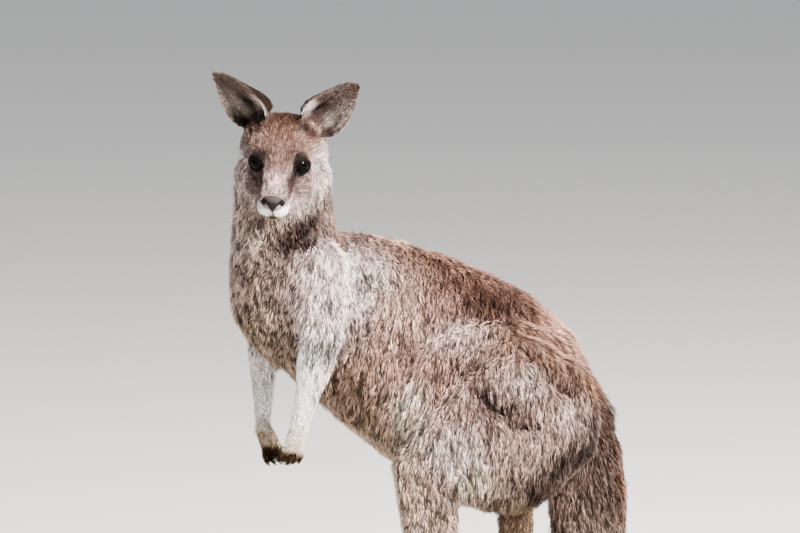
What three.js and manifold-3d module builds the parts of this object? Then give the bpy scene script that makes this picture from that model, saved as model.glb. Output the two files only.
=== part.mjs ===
// A life-size kangaroo, standing on its hind feet and tail with the back bowed, the arms hanging
// and the head turned to its left. Millimetres, +Z up, the tail towards +Y, the animal's left at +X.
import * as THREE from "three";
import { mergeVertices } from "three/addons/utils/BufferGeometryUtils.js";
import Module from "manifold-3d";

const wasm = await Module();
wasm.setup();

// ---- driving dimensions ----
const GAP = 0.3; // clearance between neighbouring pieces
const SHANK_LENGTH = 385; // knee to ankle
const FOOT_LENGTH = 300; // heel to the tip of the long claw
const STANCE = 80; // each foot's distance from the middle plane
const EYE_RADIUS = 14;
const EYE_SPREAD = 29; // each eye's centre from the middle of the face
const EYE_HEIGHT = 17; // above the axis of the head
const EAR_LENGTH = 112;
const EAR_SPREAD = 37; // each ear's root from the middle of the head
const HEAD_PLACE = [150, -365, 861]; // the point between the eyes, on the axis of the head
const HEAD_TURN = 92; // degrees round to the left
const HEAD_NOD = 25.5; // degrees nose down
const HEAD_LEAN = 4.5; // degrees down on the left side
const FAR_LEG_STEP = -14; // how far the right leg stands ahead of the left

const SIDES = { left: 1, right: -1 };

// ---- materials ----
const finish = (color, roughness) => new THREE.MeshStandardMaterial({ color, roughness, metalness: 0 });
const FINISHES = {
  back: finish(0x7d6256, 0.95),
  flank: finish(0x9c8577, 0.95),
  pale: finish(0xcfc4bb, 0.95),
  dark: finish(0x4a3d37, 0.95),
  nose: finish(0x2b2729, 0.6),
  eye: finish(0x120d0b, 0.08),
  claw: finish(0x2a2320, 0.45),
};

// ---- shapes ----
const vec = (p) => new THREE.Vector3(...p);
const radians = THREE.MathUtils.degToRad;

/** One section of a loft: its centre, and how far it reaches up, down and to each side. */
const station = (x, y, z, up, down, side) => ({ at: vec([x, y, z]), up, down, side });

/** A value of the stations at share t of the way along, on a smooth curve through them. */
function along(stations, t, key) {
  const values = stations.map((s) => s[key]);
  const place = t * (values.length - 1);
  const i = Math.min(Math.floor(place), values.length - 2);
  const f = place - i;
  const before = values[Math.max(i - 1, 0)];
  const after = values[Math.min(i + 2, values.length - 1)];
  const [a, b] = [values[i], values[i + 1]];
  const [slopeA, slopeB] = [(b - before) / 2, (after - a) / 2];
  return a + f * (slopeA + f * (3 * (b - a) - 2 * slopeA - slopeB + f * (slopeA + slopeB - 2 * (b - a))));
}

/**
 * A closed form of egg-shaped sections on a smooth spine, rounded off at both ends.
 * upFrom and upTo are the directions that "up" takes at the first and the last station, and the
 * sections stand square to the spine, or to facing where that is given. caps are the lengths of the
 * two rounded ends, as shares of the sections they close, and capRows their rows of faces.
 */
function loft(spec, grow = 0) {
  const { stations, around = 16, rows = 8, upFrom = [0, 0, 1], upTo = upFrom, facing } = spec;
  const { caps = [0.7, 0.7], capRows = 2 } = spec;
  const spine = new THREE.CatmullRomCurve3(stations.map((s) => s.at), false, "centripetal");
  const ball = new THREE.SphereGeometry(1, around, rows + 2 * capRows);
  const position = ball.attributes.position;
  for (let row = 0; row <= rows + 2 * capRows; row++) {
    const t = THREE.MathUtils.clamp((row - capRows) / rows, 0, 1);
    const tangent = facing ? vec(facing).normalize() : spine.getTangent(t);
    const up = vec(upFrom).lerp(vec(upTo), t);
    up.addScaledVector(tangent, -up.dot(tangent)).normalize();
    const side = new THREE.Vector3().crossVectors(tangent, up);
    const size = Object.fromEntries(["up", "down", "side"].map((key) => [key, along(stations, t, key)]));
    const past = Math.max(capRows - row, row - rows - capRows, 0); // rows into a rounded end
    const turn = (past / capRows) * (Math.PI / 2);
    const end = row < capRows ? 0 : 1;
    const reach = (caps[end] * (size.up + size.down + 2 * size.side) / 4 + grow) * Math.sin(turn);
    const centre = spine.getPoint(t).addScaledVector(tangent, end ? reach : -reach);
    for (let column = 0; column <= around; column++) {
      const angle = (2 * Math.PI * column) / around;
      const [lift, spread] = [-Math.cos(angle), Math.sin(angle)];
      const tall = ((lift > 0 ? size.up : size.down) + grow) * Math.cos(turn);
      const point = centre.clone().addScaledVector(up, lift * tall);
      point.addScaledVector(side, spread * (size.side + grow) * Math.cos(turn));
      position.setXYZ(row * (around + 1) + column, point.x, point.y, point.z);
    }
  }
  return solidOf(ball);
}

/** A round lump, longer or flatter along its own axes. */
function lump(at, radii, grow = 0, matrix = new THREE.Matrix4(), around = 7, rows = 5) {
  const ball = new THREE.SphereGeometry(1, around, rows);
  ball.scale(...radii.map((r) => r + grow));
  ball.translate(...at);
  return solidOf(ball.applyMatrix4(matrix));
}

/** A geometry as a solid that can be joined and cut. */
function solidOf(geometry) {
  geometry.deleteAttribute("normal");
  geometry.deleteAttribute("uv");
  const merged = mergeVertices(geometry, 1e-4);
  const vertProperties = merged.attributes.position.array;
  const triVerts = new Uint32Array(merged.index.array);
  return new wasm.Manifold(new wasm.Mesh({ numProp: 3, vertProperties, triVerts }));
}

/** The solid's triangles as a geometry. */
function geometryOf(solid) {
  const { vertProperties, triVerts } = solid.getMesh();
  const geometry = new THREE.BufferGeometry();
  geometry.setAttribute("position", new THREE.BufferAttribute(vertProperties, 3));
  geometry.setIndex(new THREE.BufferAttribute(triVerts, 1));
  geometry.computeVertexNormals();
  return geometry;
}

const joined = (solids) => solids.reduce((whole, next) => whole.add(next));

/** The part of a solid ahead of the plane through a point, with half a gap left clear. */
function ahead(solid, at, normal, clear = GAP / 2) {
  const unit = vec(normal).normalize();
  return solid.trimByPlane(unit.toArray(), unit.dot(vec(at)) + clear);
}

const onFloor = (solid) => ahead(solid, [0, 0, 0], [0, 0, 1], 0);

/** Stations moved by a matrix, their sizes unchanged. */
function moved(stations, matrix) {
  return stations.map((s) => ({ ...s, at: s.at.clone().applyMatrix4(matrix) }));
}

const turned = (direction, matrix) => vec(direction).transformDirection(matrix).toArray();

// ---- the model, built from the pieces that keep their whole shape to those cut round them ----
const kangaroo = new THREE.Group();
const placed = []; // what stands already, grown by the gap

/** Adds a node: make(grow) gives its form, and whatever was placed before is cut out of it. */
function place(name, material, make) {
  const form = make(0);
  const near = placed.filter((other) => form.intersect(other).volume() > 0);
  const cut = near.reduce((left, other) => left.subtract(other), form);
  const whole = cut.decompose().reduce((a, b) => (a.volume() > b.volume() ? a : b));
  const mesh = new THREE.Mesh(geometryOf(whole), material);
  mesh.name = name;
  kangaroo.add(mesh);
  placed.push(make(GAP));
}

// ---- head, in a frame of its own: nose towards -Y, origin between the eyes ----
const HEAD = new THREE.Matrix4()
  .makeTranslation(...HEAD_PLACE)
  .multiply(new THREE.Matrix4().makeRotationZ(radians(HEAD_TURN)))
  .multiply(new THREE.Matrix4().makeRotationY(radians(HEAD_LEAN)))
  .multiply(new THREE.Matrix4().makeRotationX(radians(HEAD_NOD)));

const skull = [
  station(0, 80, 0, 50, 52, 56),
  station(0, 55, 0, 61, 66, 68),
  station(0, 25, 0, 57, 64, 60),
  station(0, 0, 0, 46, 54, 42),
  station(0, -28, 0, 37, 40, 28),
  station(0, -55, 0, 31, 29, 24.5),
  station(0, -80, 0, 25, 20, 23),
  station(0, -100, 0, 18, 13, 21),
];
const chin = [
  station(0, -12, -35, 20, 22, 29),
  station(0, -40, -29, 14, 18, 24),
  station(0, -68, -23, 11, 15, 19),
  station(0, -89, -18, 9, 12, 15),
];

/** A form of the head from its own stations. */
function ofHead(stations, more, grow) {
  const spec = { ...more, stations: moved(stations, HEAD), upFrom: turned([0, 0, 1], HEAD) };
  return loft(spec, grow);
}

/** An ear: a cup that is rolled into a tube at its root and opens towards a rounded tip. */
function ear({ side, tilt, yaw }, grow) {
  const [around, rows] = [12, 9];
  const ball = new THREE.SphereGeometry(1, around, rows);
  const position = ball.attributes.position;
  for (let row = 0; row <= rows; row++) {
    const t = row / rows;
    const open = row > 0 && row < rows ? 1 : 0; // each end closes on one point
    const half = 30 * Math.sin(Math.PI * t ** 0.78) ** 0.62 * (1 - 0.25 * t) + 9 * (1 - t);
    const roll = THREE.MathUtils.lerp(2.35, 0.75, Math.min(1, t * 1.25));
    const radius = (open * half) / Math.sin(Math.min(roll, Math.PI / 2));
    const reach = roll + (open * grow) / Math.max(radius, 1); // so that the rims grow too
    const thick = open * (3.4 - 1.5 * t + grow);
    for (let column = 0; column <= around; column++) {
      const angle = (2 * Math.PI * column) / around;
      const across = -Math.cos(angle);
      const shell = radius + Math.sin(angle) * thick;
      const x = shell * Math.sin(reach * across);
      const y = shell * Math.cos(reach * across) - radius * Math.cos(roll) * 0.7;
      const lean = 4 * t * t; // the tip bends a little forwards
      position.setXYZ(row * (around + 1) + column, x, y - lean, t * EAR_LENGTH);
    }
  }
  const pose = new THREE.Matrix4()
    .makeTranslation(side * EAR_SPREAD, 42, 38)
    .multiply(new THREE.Matrix4().makeRotationX(radians(-6)))
    .multiply(new THREE.Matrix4().makeRotationY(radians(side * tilt)))
    .multiply(new THREE.Matrix4().makeRotationZ(radians(side * yaw)));
  return solidOf(ball.applyMatrix4(pose).applyMatrix4(HEAD));
}

const EARS = { left: { tilt: 37, yaw: 8 }, right: { tilt: 38, yaw: 22 } }; // degrees outwards

for (const [name, side] of Object.entries(SIDES)) {
  const eyeAt = [side * EYE_SPREAD, -10, EYE_HEIGHT];
  place(`eye_${name}`, FINISHES.eye, (grow) => lump(eyeAt, Array(3).fill(EYE_RADIUS), grow, HEAD, 10, 7));
  place(`ear_${name}`, FINISHES.back, (grow) => ear({ side, ...EARS[name] }, grow));
}
place("nose", FINISHES.nose, (grow) => lump([0, -104, 5], [15.5, 11, 12], grow, HEAD, 10, 6));
place("lower_jaw", FINISHES.pale, (grow) => ofHead(chin, { around: 8, rows: 4, caps: [0.5, 0.8] }, grow));
place("head", FINISHES.flank, (grow) => {
  const swellings = Object.values(SIDES).flatMap((side) => [
    lump([side * 11, -94, -6.5], [14, 17, 12.5], grow, HEAD), // upper lip
    lump([side * 27, 2, 27], [16, 21, 9.5], grow, HEAD), // brow
    lump([side * 26, 12, -20], [27, 52, 31], grow, HEAD, 8, 6), // cheek
  ]);
  return joined([ofHead(skull, { around: 14, rows: 10, caps: [0.5, 0.45] }, grow), ...swellings]);
});

// ---- hind legs ----
const legs = {
  left: { step: 0, side: 1 },
  right: { step: FAR_LEG_STEP, side: -1 },
};

/** Moves stations given for the left leg to either leg. */
function legStations(stations, { step, side }) {
  return stations.map((s) => ({ ...s, at: new THREE.Vector3(s.at.x * side, s.at.y + step, s.at.z) }));
}

const HEEL_Y = -88;
const TOES = {
  fourth: [
    station(8, -165, 16, 15, 17, 15),
    station(9, -215, 15, 14, 16, 14),
    station(9, -262, 13.5, 11, 14.5, 11),
  ],
  fifth: [
    station(24, -158, 14, 12, 15, 12),
    station(34, -196, 12.5, 10.5, 13.5, 10.5),
    station(38, -222, 11, 8.5, 12, 8.5),
  ],
  joined_second_third: [
    station(-15, -158, 12, 9, 13, 9.5),
    station(-21, -192, 11, 7.5, 12, 8),
    station(-22, -212, 10.5, 6.5, 11.5, 7.5),
  ],
};
/** A claw that bends down along its length, from its root on the foot; width is its half width there. */
const clawOf = (x, y, z, length, drop, width) => [
  station(x, y, z, 1.15 * width, 1.15 * width, width),
  station(x, y - length * 0.58, z - drop * 0.25, 0.9 * width, 0.9 * width, 0.77 * width),
  station(x, y - length, z - drop, 0.3 * width, 0.3 * width, 0.27 * width),
];
const CLAWS = {
  fourth: clawOf(9, -266, 15, FOOT_LENGTH - 269, 8.5, 5.5),
  fifth: clawOf(40, -225, 12, 22, 6.5, 4),
  second: clawOf(-26, -214, 11.5, 14, 5, 2.5),
  third: clawOf(-18.5, -214, 11.5, 14, 5, 2.5),
};
const FOOT = [
  station(0, 2, 24, 24, 26, 20),
  station(0, -35, 22, 21, 24, 20),
  station(0, -85, 19, 18, 20, 20),
  station(3, -130, 18, 18, 19, 24),
  station(6, -165, 16, 16, 17, 28),
];
const footAt = ({ step, side }) =>
  new THREE.Matrix4().makeTranslation(side * STANCE, HEEL_Y + step, 0)
    .multiply(new THREE.Matrix4().makeRotationZ(radians(side * 4)));
/** Foot stations, given for the left foot from its heel, set down under either leg. */
const footStations = (stations, leg) =>
  moved(legStations(stations, { step: 0, side: leg.side }), footAt(leg));

const ANKLE_Z = 54;
const KNEE = [105, -160, ANKLE_Z + Math.sqrt(SHANK_LENGTH ** 2 - 49 ** 2 - 25 ** 2)];
const SHANK = [
  station(...KNEE, 52, 46, 44),
  station(101, -157, 375, 47, 46, 43),
  station(97, -152, 300, 38, 42, 38),
  station(91, -140, 215, 29, 32, 29),
  station(85, -124, 130, 22, 26, 23),
  station(80, -111, ANKLE_Z + 8, 24, 24, 22),
];
const THIGH_FACING = [0, -1, -0.1];
const THIGH = [
  station(70, 48, 500, 92, 92, 48),
  station(80, 6, 505, 118, 138, 62),
  station(90, -52, 492, 124, 143, 64),
  station(98, -108, 468, 98, 108, 60),
  station(104, -150, 446, 66, 68, 53),
];

for (const [name, leg] of Object.entries(legs)) {
  /** How a piece of this leg's foot is made from its stations. */
  const foot = (stations, more) => {
    const spec = { ...more, stations: footStations(stations, leg) };
    return (grow) => onFloor(loft(spec, grow));
  };
  for (const [toe, stations] of Object.entries(CLAWS)) {
    const make = foot(stations, { around: 5, rows: 2, caps: [0.6, 0.9], capRows: 1 });
    place(`foot_claw_${toe}_${name}`, FINISHES.claw, make);
  }
  for (const [toe, stations] of Object.entries(TOES)) {
    place(`toe_${toe}_${name}`, FINISHES.dark, foot(stations, { around: 7, rows: 2, caps: [0.6, 0.8] }));
  }
  place(`foot_${name}`, FINISHES.dark, foot(FOOT, { around: 8, rows: 4, caps: [0.9, 0.5] }));
  const shank = { stations: legStations(SHANK, leg), around: 10, rows: 7, upFrom: [0, -1, 0] };
  place(`shank_${name}`, FINISHES.flank, (grow) => onFloor(loft(shank, grow)));
  const thigh = { stations: legStations(THIGH, leg), around: 14, rows: 6, facing: THIGH_FACING };
  place(`thigh_${name}`, FINISHES.flank, (grow) => loft(thigh, grow));
}

// ---- arms ----
const arms = {
  left: {
    shoulder: [140, -318, 728], elbow: [164, -303, 628], wrist: [149, -338, 488], knuckles: [139, -349, 452],
    palm: [-0.9, -0.35, 0],
  },
  right: {
    shoulder: [24, -398, 712], elbow: [2, -408, 602], wrist: [79, -398, 474], knuckles: [92, -384, 447],
    palm: [0.9, 0.35, 0],
  },
};
const DIGITS = [-2, -1, 0, 1, 2];

for (const [name, { shoulder, elbow, wrist, knuckles, palm }] of Object.entries(arms)) {
  const bulk = name === "left" ? 1 : 0.86;
  const reach = vec(knuckles).sub(vec(wrist)).normalize();
  const facing = vec(palm).addScaledVector(reach, -vec(palm).dot(reach)).normalize();
  const across = new THREE.Vector3().crossVectors(reach, facing);
  /** A place in the hand: so far down from the knuckles, across them, and towards the palm. */
  const inHand = (down, over, inward) => {
    const point = vec(knuckles).addScaledVector(reach, down);
    return point.addScaledVector(across, over).addScaledVector(facing, inward).toArray();
  };
  const digit = (i) => {
    const splay = i * 2.6;
    const short = Math.abs(i) * 2.4;
    return [
      station(...inHand(-2, i * 6, 0), 6.2, 6.2, 5),
      station(...inHand(12 - short, i * 6 + splay * 0.6, 1.5), 5.8, 5.8, 4.8),
      station(...inHand(25 - short, i * 6 + splay, 7), 4.8, 4.8, 4.4),
    ];
  };
  const claw = (i) => {
    const [over, short] = [i * 8.6, Math.abs(i) * 2.4];
    return [
      station(...inHand(26 - short, over, 8), 3.4, 3.4, 2.8),
      station(...inHand(35 - short, over * 1.04, 13), 2.5, 2.5, 2),
      station(...inHand(41 - short, over * 1.06, 21), 0.9, 0.9, 0.8),
    ];
  };
  const away = facing.clone().negate().toArray();
  for (const i of DIGITS) {
    const spec = { stations: claw(i), around: 5, rows: 2, upFrom: away, caps: [0.5, 1], capRows: 1 };
    place(`hand_claw_${i + 3}_${name}`, FINISHES.claw, (grow) => loft(spec, grow));
  }
  place(`hand_${name}`, FINISHES.pale, (grow) => {
    const palmPad = [
      station(...vec(wrist).addScaledVector(reach, -4).toArray(), 13, 12, 14),
      station(...inHand(-22, 0, 0), 12, 12, 15.5),
      station(...inHand(-6, 0, 1), 9.5, 10, 16.5),
    ];
    const ofHand = (stations, around) => loft({ stations, around, rows: 2, upFrom: away, capRows: 1 }, grow);
    return joined([ofHand(palmPad, 7), ...DIGITS.map((i) => ofHand(digit(i), 5))]);
  });
  const forearm = [
    station(...elbow, 30 * bulk, 32 * bulk, 28 * bulk),
    station(...vec(elbow).lerp(vec(wrist), 0.3).toArray(), 27 * bulk, 30 * bulk, 25 * bulk),
    station(...vec(elbow).lerp(vec(wrist), 0.68).toArray(), 20 * bulk, 20 * bulk, 19 * bulk),
    station(...wrist, 16 * bulk, 15 * bulk, 15.5 * bulk),
  ];
  place(`forearm_${name}`, FINISHES.pale, (grow) =>
    loft({ stations: forearm, around: 9, rows: 3, upFrom: [0, -1, 0] }, grow));
  const upperArm = [
    station(...shoulder, 52, 52, 44),
    station(...vec(shoulder).lerp(vec(elbow), 0.5).toArray(), 46, 46, 40),
    station(...elbow, 33, 34, 31),
  ];
  place(`upper_arm_${name}`, FINISHES.flank, (grow) =>
    loft({ stations: upperArm, around: 10, rows: 2, upFrom: [0, -1, 0] }, grow));
}

// ---- trunk, neck and tail ----
const TRUNK = [
  station(0, 54, 450, 93, 84, 64),
  station(0, 19, 464, 118, 108, 86),
  station(0, -58, 512, 154, 150, 105),
  station(4, -124, 546, 160, 162, 116),
  station(20, -207, 596, 149, 150, 118),
  station(44, -277, 636, 133, 132, 110),
  station(62, -324, 664, 119, 121, 101),
  station(76, -358, 694, 100, 110, 92),
  station(84, -374, 720, 84, 92, 80),
];
const NECK = [
  station(82, -354, 690, 88, 94, 90),
  station(90, -364, 745, 84, 87, 86),
  station(99, -366, 800, 73, 76, 76),
  station(108, -366, 856, 66, 66, 76),
];
const TAIL = [
  station(0, 40, 470, 70, 80, 62),
  station(0, 66, 400, 64, 66, 58),
  station(0, 72, 320, 58, 60, 54),
  station(-2, 84, 230, 52, 54, 48),
  station(-6, 112, 145, 46, 47, 43),
  station(-12, 168, 76, 41, 42, 39),
  station(-22, 250, 40, 37, 40.5, 37),
  station(-36, 350, 31, 31, 32.5, 32),
  station(-52, 455, 23.5, 24, 25, 25),
  station(-62, 555, 16.5, 16, 18, 17),
  station(-64, 625, 10.5, 9, 12, 10.5),
];
const TAIL_CUTS = [
  { at: [-2, 84, 228], normal: [0, 0.18, -1] },
  { at: [-14, 180, 68], normal: [-0.1, 0.9, -0.45] },
  { at: [-40, 380, 25], normal: [-0.15, 1, 0] },
];
const NECK_BASE = { at: [88, -365, 735], normal: [0.15, -0.45, 0.88] };
const CHEST_END = { at: [38, -262, 628], normal: [0.26, -0.84, 0.46] };
const LOIN_END = { at: [2, -100, 535], normal: [0.05, -0.86, 0.5] };

const neckForm = { stations: NECK, around: 12, rows: 4, upFrom: [-0.3, 0.9, 0.3], upTo: [-1, 0.1, 0] };
const trunkForm = { stations: TRUNK, around: 16, rows: 10, caps: [0.7, 0.7] };
const tailEnds = { upFrom: [0, 1, 0.3], upTo: [0, 0, 1], caps: [0.6, 1.2] };
const tailForm = { stations: TAIL, around: 12, rows: 15, ...tailEnds };

const front = (grow) => loft(neckForm, grow).add(loft(trunkForm, grow));
const behind = (solid, cut) => ahead(solid, cut.at, cut.normal.map((v) => -v));
place("neck", FINISHES.flank, (grow) => ahead(front(grow), NECK_BASE.at, NECK_BASE.normal, GAP / 2 - grow));
place("chest", FINISHES.flank, (grow) => {
  const below = behind(front(grow), NECK_BASE);
  return ahead(below, CHEST_END.at, CHEST_END.normal, GAP / 2 - grow);
});
place("abdomen", FINISHES.flank, (grow) => {
  const below = behind(behind(front(grow), NECK_BASE), CHEST_END);
  return ahead(below, LOIN_END.at, LOIN_END.normal, GAP / 2 - grow);
});
place("rump", FINISHES.back, (grow) => behind(loft(trunkForm, grow), LOIN_END));
TAIL_CUTS.concat(null).forEach((cut, i) => {
  place(`tail_${i + 1}`, i < 2 ? FINISHES.flank : FINISHES.dark, (grow) => {
    const length = onFloor(loft(tailForm, grow));
    const started = i ? ahead(length, TAIL_CUTS[i - 1].at, TAIL_CUTS[i - 1].normal) : length;
    return cut ? behind(started, cut) : started;
  });
});
const SCROTUM = [
  station(0, -37, 400, 26, 27, 22),
  station(0, -37, 350, 29, 31, 25),
  station(0, -35, 312, 30, 30, 26),
];
const scrotumForm = { stations: SCROTUM, around: 8, rows: 2, upFrom: [0, -1, 0] };
place("scrotum", FINISHES.pale, (grow) => loft(scrotumForm, grow));

// ---- the origin: on the floor, under the middle of the whole ----
kangaroo.updateMatrixWorld(true);
const box = new THREE.Box3().setFromObject(kangaroo);
const middle = box.getCenter(new THREE.Vector3());
kangaroo.position.set(-middle.x, -middle.y, -box.min.z);

export default kangaroo;
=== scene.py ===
"""A life-size kangaroo: one skin, its coat of small tufts, wet eyes, a bare nose and horn claws."""

import logging
import math
from collections.abc import Iterable
from dataclasses import dataclass, field
from enum import Enum, IntEnum

import bmesh
import bpy
import numpy as np
from mathutils import Matrix, Vector
from mathutils.bvhtree import BVHTree
from mathutils.kdtree import KDTree


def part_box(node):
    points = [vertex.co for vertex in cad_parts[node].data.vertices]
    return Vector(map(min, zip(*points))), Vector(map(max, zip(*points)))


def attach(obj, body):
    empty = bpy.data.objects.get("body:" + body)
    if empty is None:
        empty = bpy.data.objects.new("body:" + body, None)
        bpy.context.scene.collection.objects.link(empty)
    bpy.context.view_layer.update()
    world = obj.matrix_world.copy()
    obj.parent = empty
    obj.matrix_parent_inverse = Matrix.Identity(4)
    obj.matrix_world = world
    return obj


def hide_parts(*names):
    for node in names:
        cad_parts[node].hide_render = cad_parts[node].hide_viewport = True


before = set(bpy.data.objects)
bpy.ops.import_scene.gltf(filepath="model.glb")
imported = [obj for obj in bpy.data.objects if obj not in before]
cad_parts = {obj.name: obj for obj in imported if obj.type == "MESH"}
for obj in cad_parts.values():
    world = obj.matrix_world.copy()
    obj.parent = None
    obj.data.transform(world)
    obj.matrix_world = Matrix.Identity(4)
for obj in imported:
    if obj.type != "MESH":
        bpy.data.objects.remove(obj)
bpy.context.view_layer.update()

logging.basicConfig(level=logging.INFO, format="%(message)s")
log = logging.getLogger("kangaroo")

MM = 0.001
SIDES = {"left": 1.0, "right": -1.0}
Array = np.ndarray
Pair = tuple[float, float]
Triple = tuple[float, float, float]
Form = bmesh.types.BMesh
Mesh = bpy.types.Mesh
Piece = bpy.types.Object
Material = bpy.types.Material


class Dye(IntEnum):
    """Colours of the smaller patches, of painted shade, and of the plain finishes, as 0xRRGGBB."""

    BLACK = 0x040303
    FACE = 0xAF9790
    LOW_FACE = 0xC0ACA4
    # dark lid skin, and painted shade round the eyes' sockets
    LIDS_AND_SOCKET_SHADE = 0x120D0B
    # painted shade in the mouth's line and the groove below the nose
    MOUTH_GROOVE_SHADE = 0x140E0C
    # painted shade on the inner sides of the arms
    INNER_ARM_SHADE = 0xC4AEA5
    DIGITS = 0x2C1F18
    DIGIT_FLECKS = 0x8A6636
    GOLD = 0x9A7A52
    EAR = 0x5A4E4A
    EAR_RIM = 0xB3A59C
    EAR_INNER_EDGE = 0xE0CCC0
    EAR_ROOT = 0x3D2C26
    EAR_BACK = 0x3E2A20
    EAR_SIDE = 0x1C110C
    IRIS = 0x0C0604
    EYEBALL = 0x060403
    PUPIL = 0x000000
    PAD = 0x0E0C0C
    PAD_TOP = 0x2E2625
    HORN = 0x241D1A
    FLOOR = 0xD6D3CC


# ---------------------------------------------------------------- small tools
def unit(vectors: Array) -> Array:
    """Vectors of length one along the given ones, row by row."""
    return vectors / np.maximum(np.linalg.norm(vectors, axis=-1, keepdims=True), 1e-12)


def step(values: Array, start: float, end: float) -> Array:
    """A smooth rise from 0 at start to 1 at end (or a fall, where end is below start)."""
    t = np.clip((values - start) / (end - start), 0.0, 1.0)
    return t * t * (3.0 - 2.0 * t)


def bell(values: Array, width: float) -> Array:
    """A smooth hump of height 1 at zero, that has faded at about twice the width."""
    return np.exp(-((values / width) ** 2))


def mix(a: Array, b: Array, share: Array) -> Array:
    """Rows of a turned towards b by each row's share."""
    return a + (b - a) * share[:, None]


def linear(code: int) -> Array:
    """A colour written as 0xRRGGBB, as linear red, green and blue."""
    parts = np.array([code >> 16 & 255, code >> 8 & 255, code & 255]) / 255.0
    return np.where(parts <= 0.04045, parts / 12.92, ((parts + 0.055) / 1.055) ** 2.4)


def tint(rows: Array, code: int, share: Array) -> Array:
    """Rows of colour turned towards the colour 0xRRGGBB by each row's share."""
    return mix(rows, linear(code), share)


def flattened(vectors: Array, normals: Array) -> Array:
    """The part of each vector that lies along the surface."""
    return vectors - normals * np.sum(vectors * normals, axis=1)[:, None]


def from_line(places: Array, a: Array, b: Array) -> Array:
    """Each place's offset from the nearest point of the straight line from a to b."""
    t = np.clip(((places - a) @ (b - a)) / ((b - a) @ (b - a)), 0.0, 1.0)
    return places - a - t[:, None] * (b - a)


def tree_of(points: Array) -> KDTree:
    """A tree of points, for finding those near a place.

    Args:
        points: their places, one row each.

    Returns:
        The balanced tree.
    """
    tree = KDTree(len(points))
    for number, point in enumerate(points):
        tree.insert(point, number)
    tree.balance()
    return tree


def nearest(points: Array, places: Array) -> Array:
    """The number of the point nearest to each place."""
    tree = tree_of(points)
    return np.fromiter((tree.find(place)[1] for place in places), np.int64, len(places))


def centre(node: str) -> Array:
    """The middle of a CAD node's box."""
    low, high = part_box(node)
    return (np.array(low) + np.array(high)) / 2.0


def ripple(points: Array, size: float, seed: int) -> Array:
    """Soft patches between -1 and 1, about size across, the same on every run.

    Args:
        points: places in the model, in metres.
        size: about how wide a patch is, in metres.
        seed: which patches are drawn.

    Returns:
        One value for each point.
    """
    rng = np.random.default_rng(seed)
    total = np.zeros(len(points))
    for _ in range(7):
        wave = unit(rng.normal(size=3)) * (2.0 * math.pi / size) * rng.uniform(0.6, 1.5)
        total += np.sin(points @ wave + rng.uniform(0.0, 2.0 * math.pi))
    return total / 3.2


def read_points(mesh: Mesh) -> Array:
    """The mesh's vertex places, one row each.

    Args:
        mesh: the mesh.

    Returns:
        The places.
    """
    flat = np.empty(len(mesh.vertices) * 3, np.float32)
    mesh.vertices.foreach_get("co", flat)
    return flat.reshape(-1, 3).astype(float)


def write_points(mesh: Mesh, points: Array) -> None:
    """Moves the mesh's vertices to the given rows."""
    mesh.vertices.foreach_set("co", points.astype(np.float32).ravel())
    mesh.update()


def read_normals(mesh: Mesh) -> Array:
    """The mesh's vertex normals, one row each.

    Args:
        mesh: the mesh.

    Returns:
        The normals.
    """
    flat = np.empty(len(mesh.vertices) * 3, np.float32)
    mesh.vertex_normals.foreach_get("vector", flat)
    return unit(flat.reshape(-1, 3).astype(float))


def read_triangles(mesh: Mesh) -> Array:
    """The mesh's triangles as rows of three vertex numbers.

    Args:
        mesh: the mesh.

    Returns:
        The rows.
    """
    mesh.calc_loop_triangles()
    flat = np.empty(len(mesh.loop_triangles) * 3, np.int32)
    mesh.loop_triangles.foreach_get("vertices", flat)
    return flat.reshape(-1, 3)


def paint(mesh: Mesh, name: str, colours: Array) -> None:
    """Stores one colour for each vertex.

    Args:
        mesh: the mesh.
        name: the name of the colour layer.
        colours: linear colours, one row for each vertex.
    """
    layer = mesh.color_attributes.new(name, "FLOAT_COLOR", "POINT")
    rows = np.concatenate([np.clip(colours, 0.0, 1.0), np.ones((len(colours), 1))], axis=1)
    layer.data.foreach_set("color", rows.astype(np.float32).ravel())


def new_mesh(name: str, form: Form) -> Mesh:
    """The form as a new mesh; the form itself is freed.

    Args:
        name: the name of the mesh.
        form: the shape.

    Returns:
        The mesh.
    """
    mesh = bpy.data.meshes.new(name)
    form.to_mesh(mesh)
    form.free()
    return mesh


def joined(forms: Iterable[Form]) -> Form:
    """One form made of several, which are freed.

    Args:
        forms: the shapes, one after the other.

    Returns:
        The one form.
    """
    whole = bmesh.new()
    for form in forms:
        part = new_mesh("part", form)
        whole.from_mesh(part)
        bpy.data.meshes.remove(part)
    return whole


def add_object(name: str, mesh: Mesh) -> Piece:
    """A new object of the mesh at the origin, in the scene, shaded smooth.

    Args:
        name: the name of the object.
        mesh: its mesh.

    Returns:
        The object.
    """
    piece = bpy.data.objects.new(name, mesh)
    bpy.context.scene.collection.objects.link(piece)
    mesh.polygons.foreach_set("use_smooth", np.ones(len(mesh.polygons), bool))
    return piece


def finished(piece: Piece) -> Piece:
    """The piece with its modifiers turned into plain mesh.

    Args:
        piece: an object with modifiers.

    Returns:
        The same object, with its new mesh.
    """
    graph = bpy.context.evaluated_depsgraph_get()
    mesh = bpy.data.meshes.new_from_object(piece.evaluated_get(graph))
    piece.modifiers.clear()
    piece.data = mesh
    return piece


def merged_copy(node: str, grow: float = 0.0) -> Form:
    """A copy of a CAD node's shape with its corners joined.

    Args:
        node: the CAD node.
        grow: how far the copy swells along its normals, in metres.

    Returns:
        The copy, which the caller frees.
    """
    form = bmesh.new()
    form.from_mesh(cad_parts[node].data)
    bmesh.ops.remove_doubles(form, verts=form.verts, dist=1e-6)
    form.normal_update()
    for vert in form.verts:
        vert.co += vert.normal * grow
    return form


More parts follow.
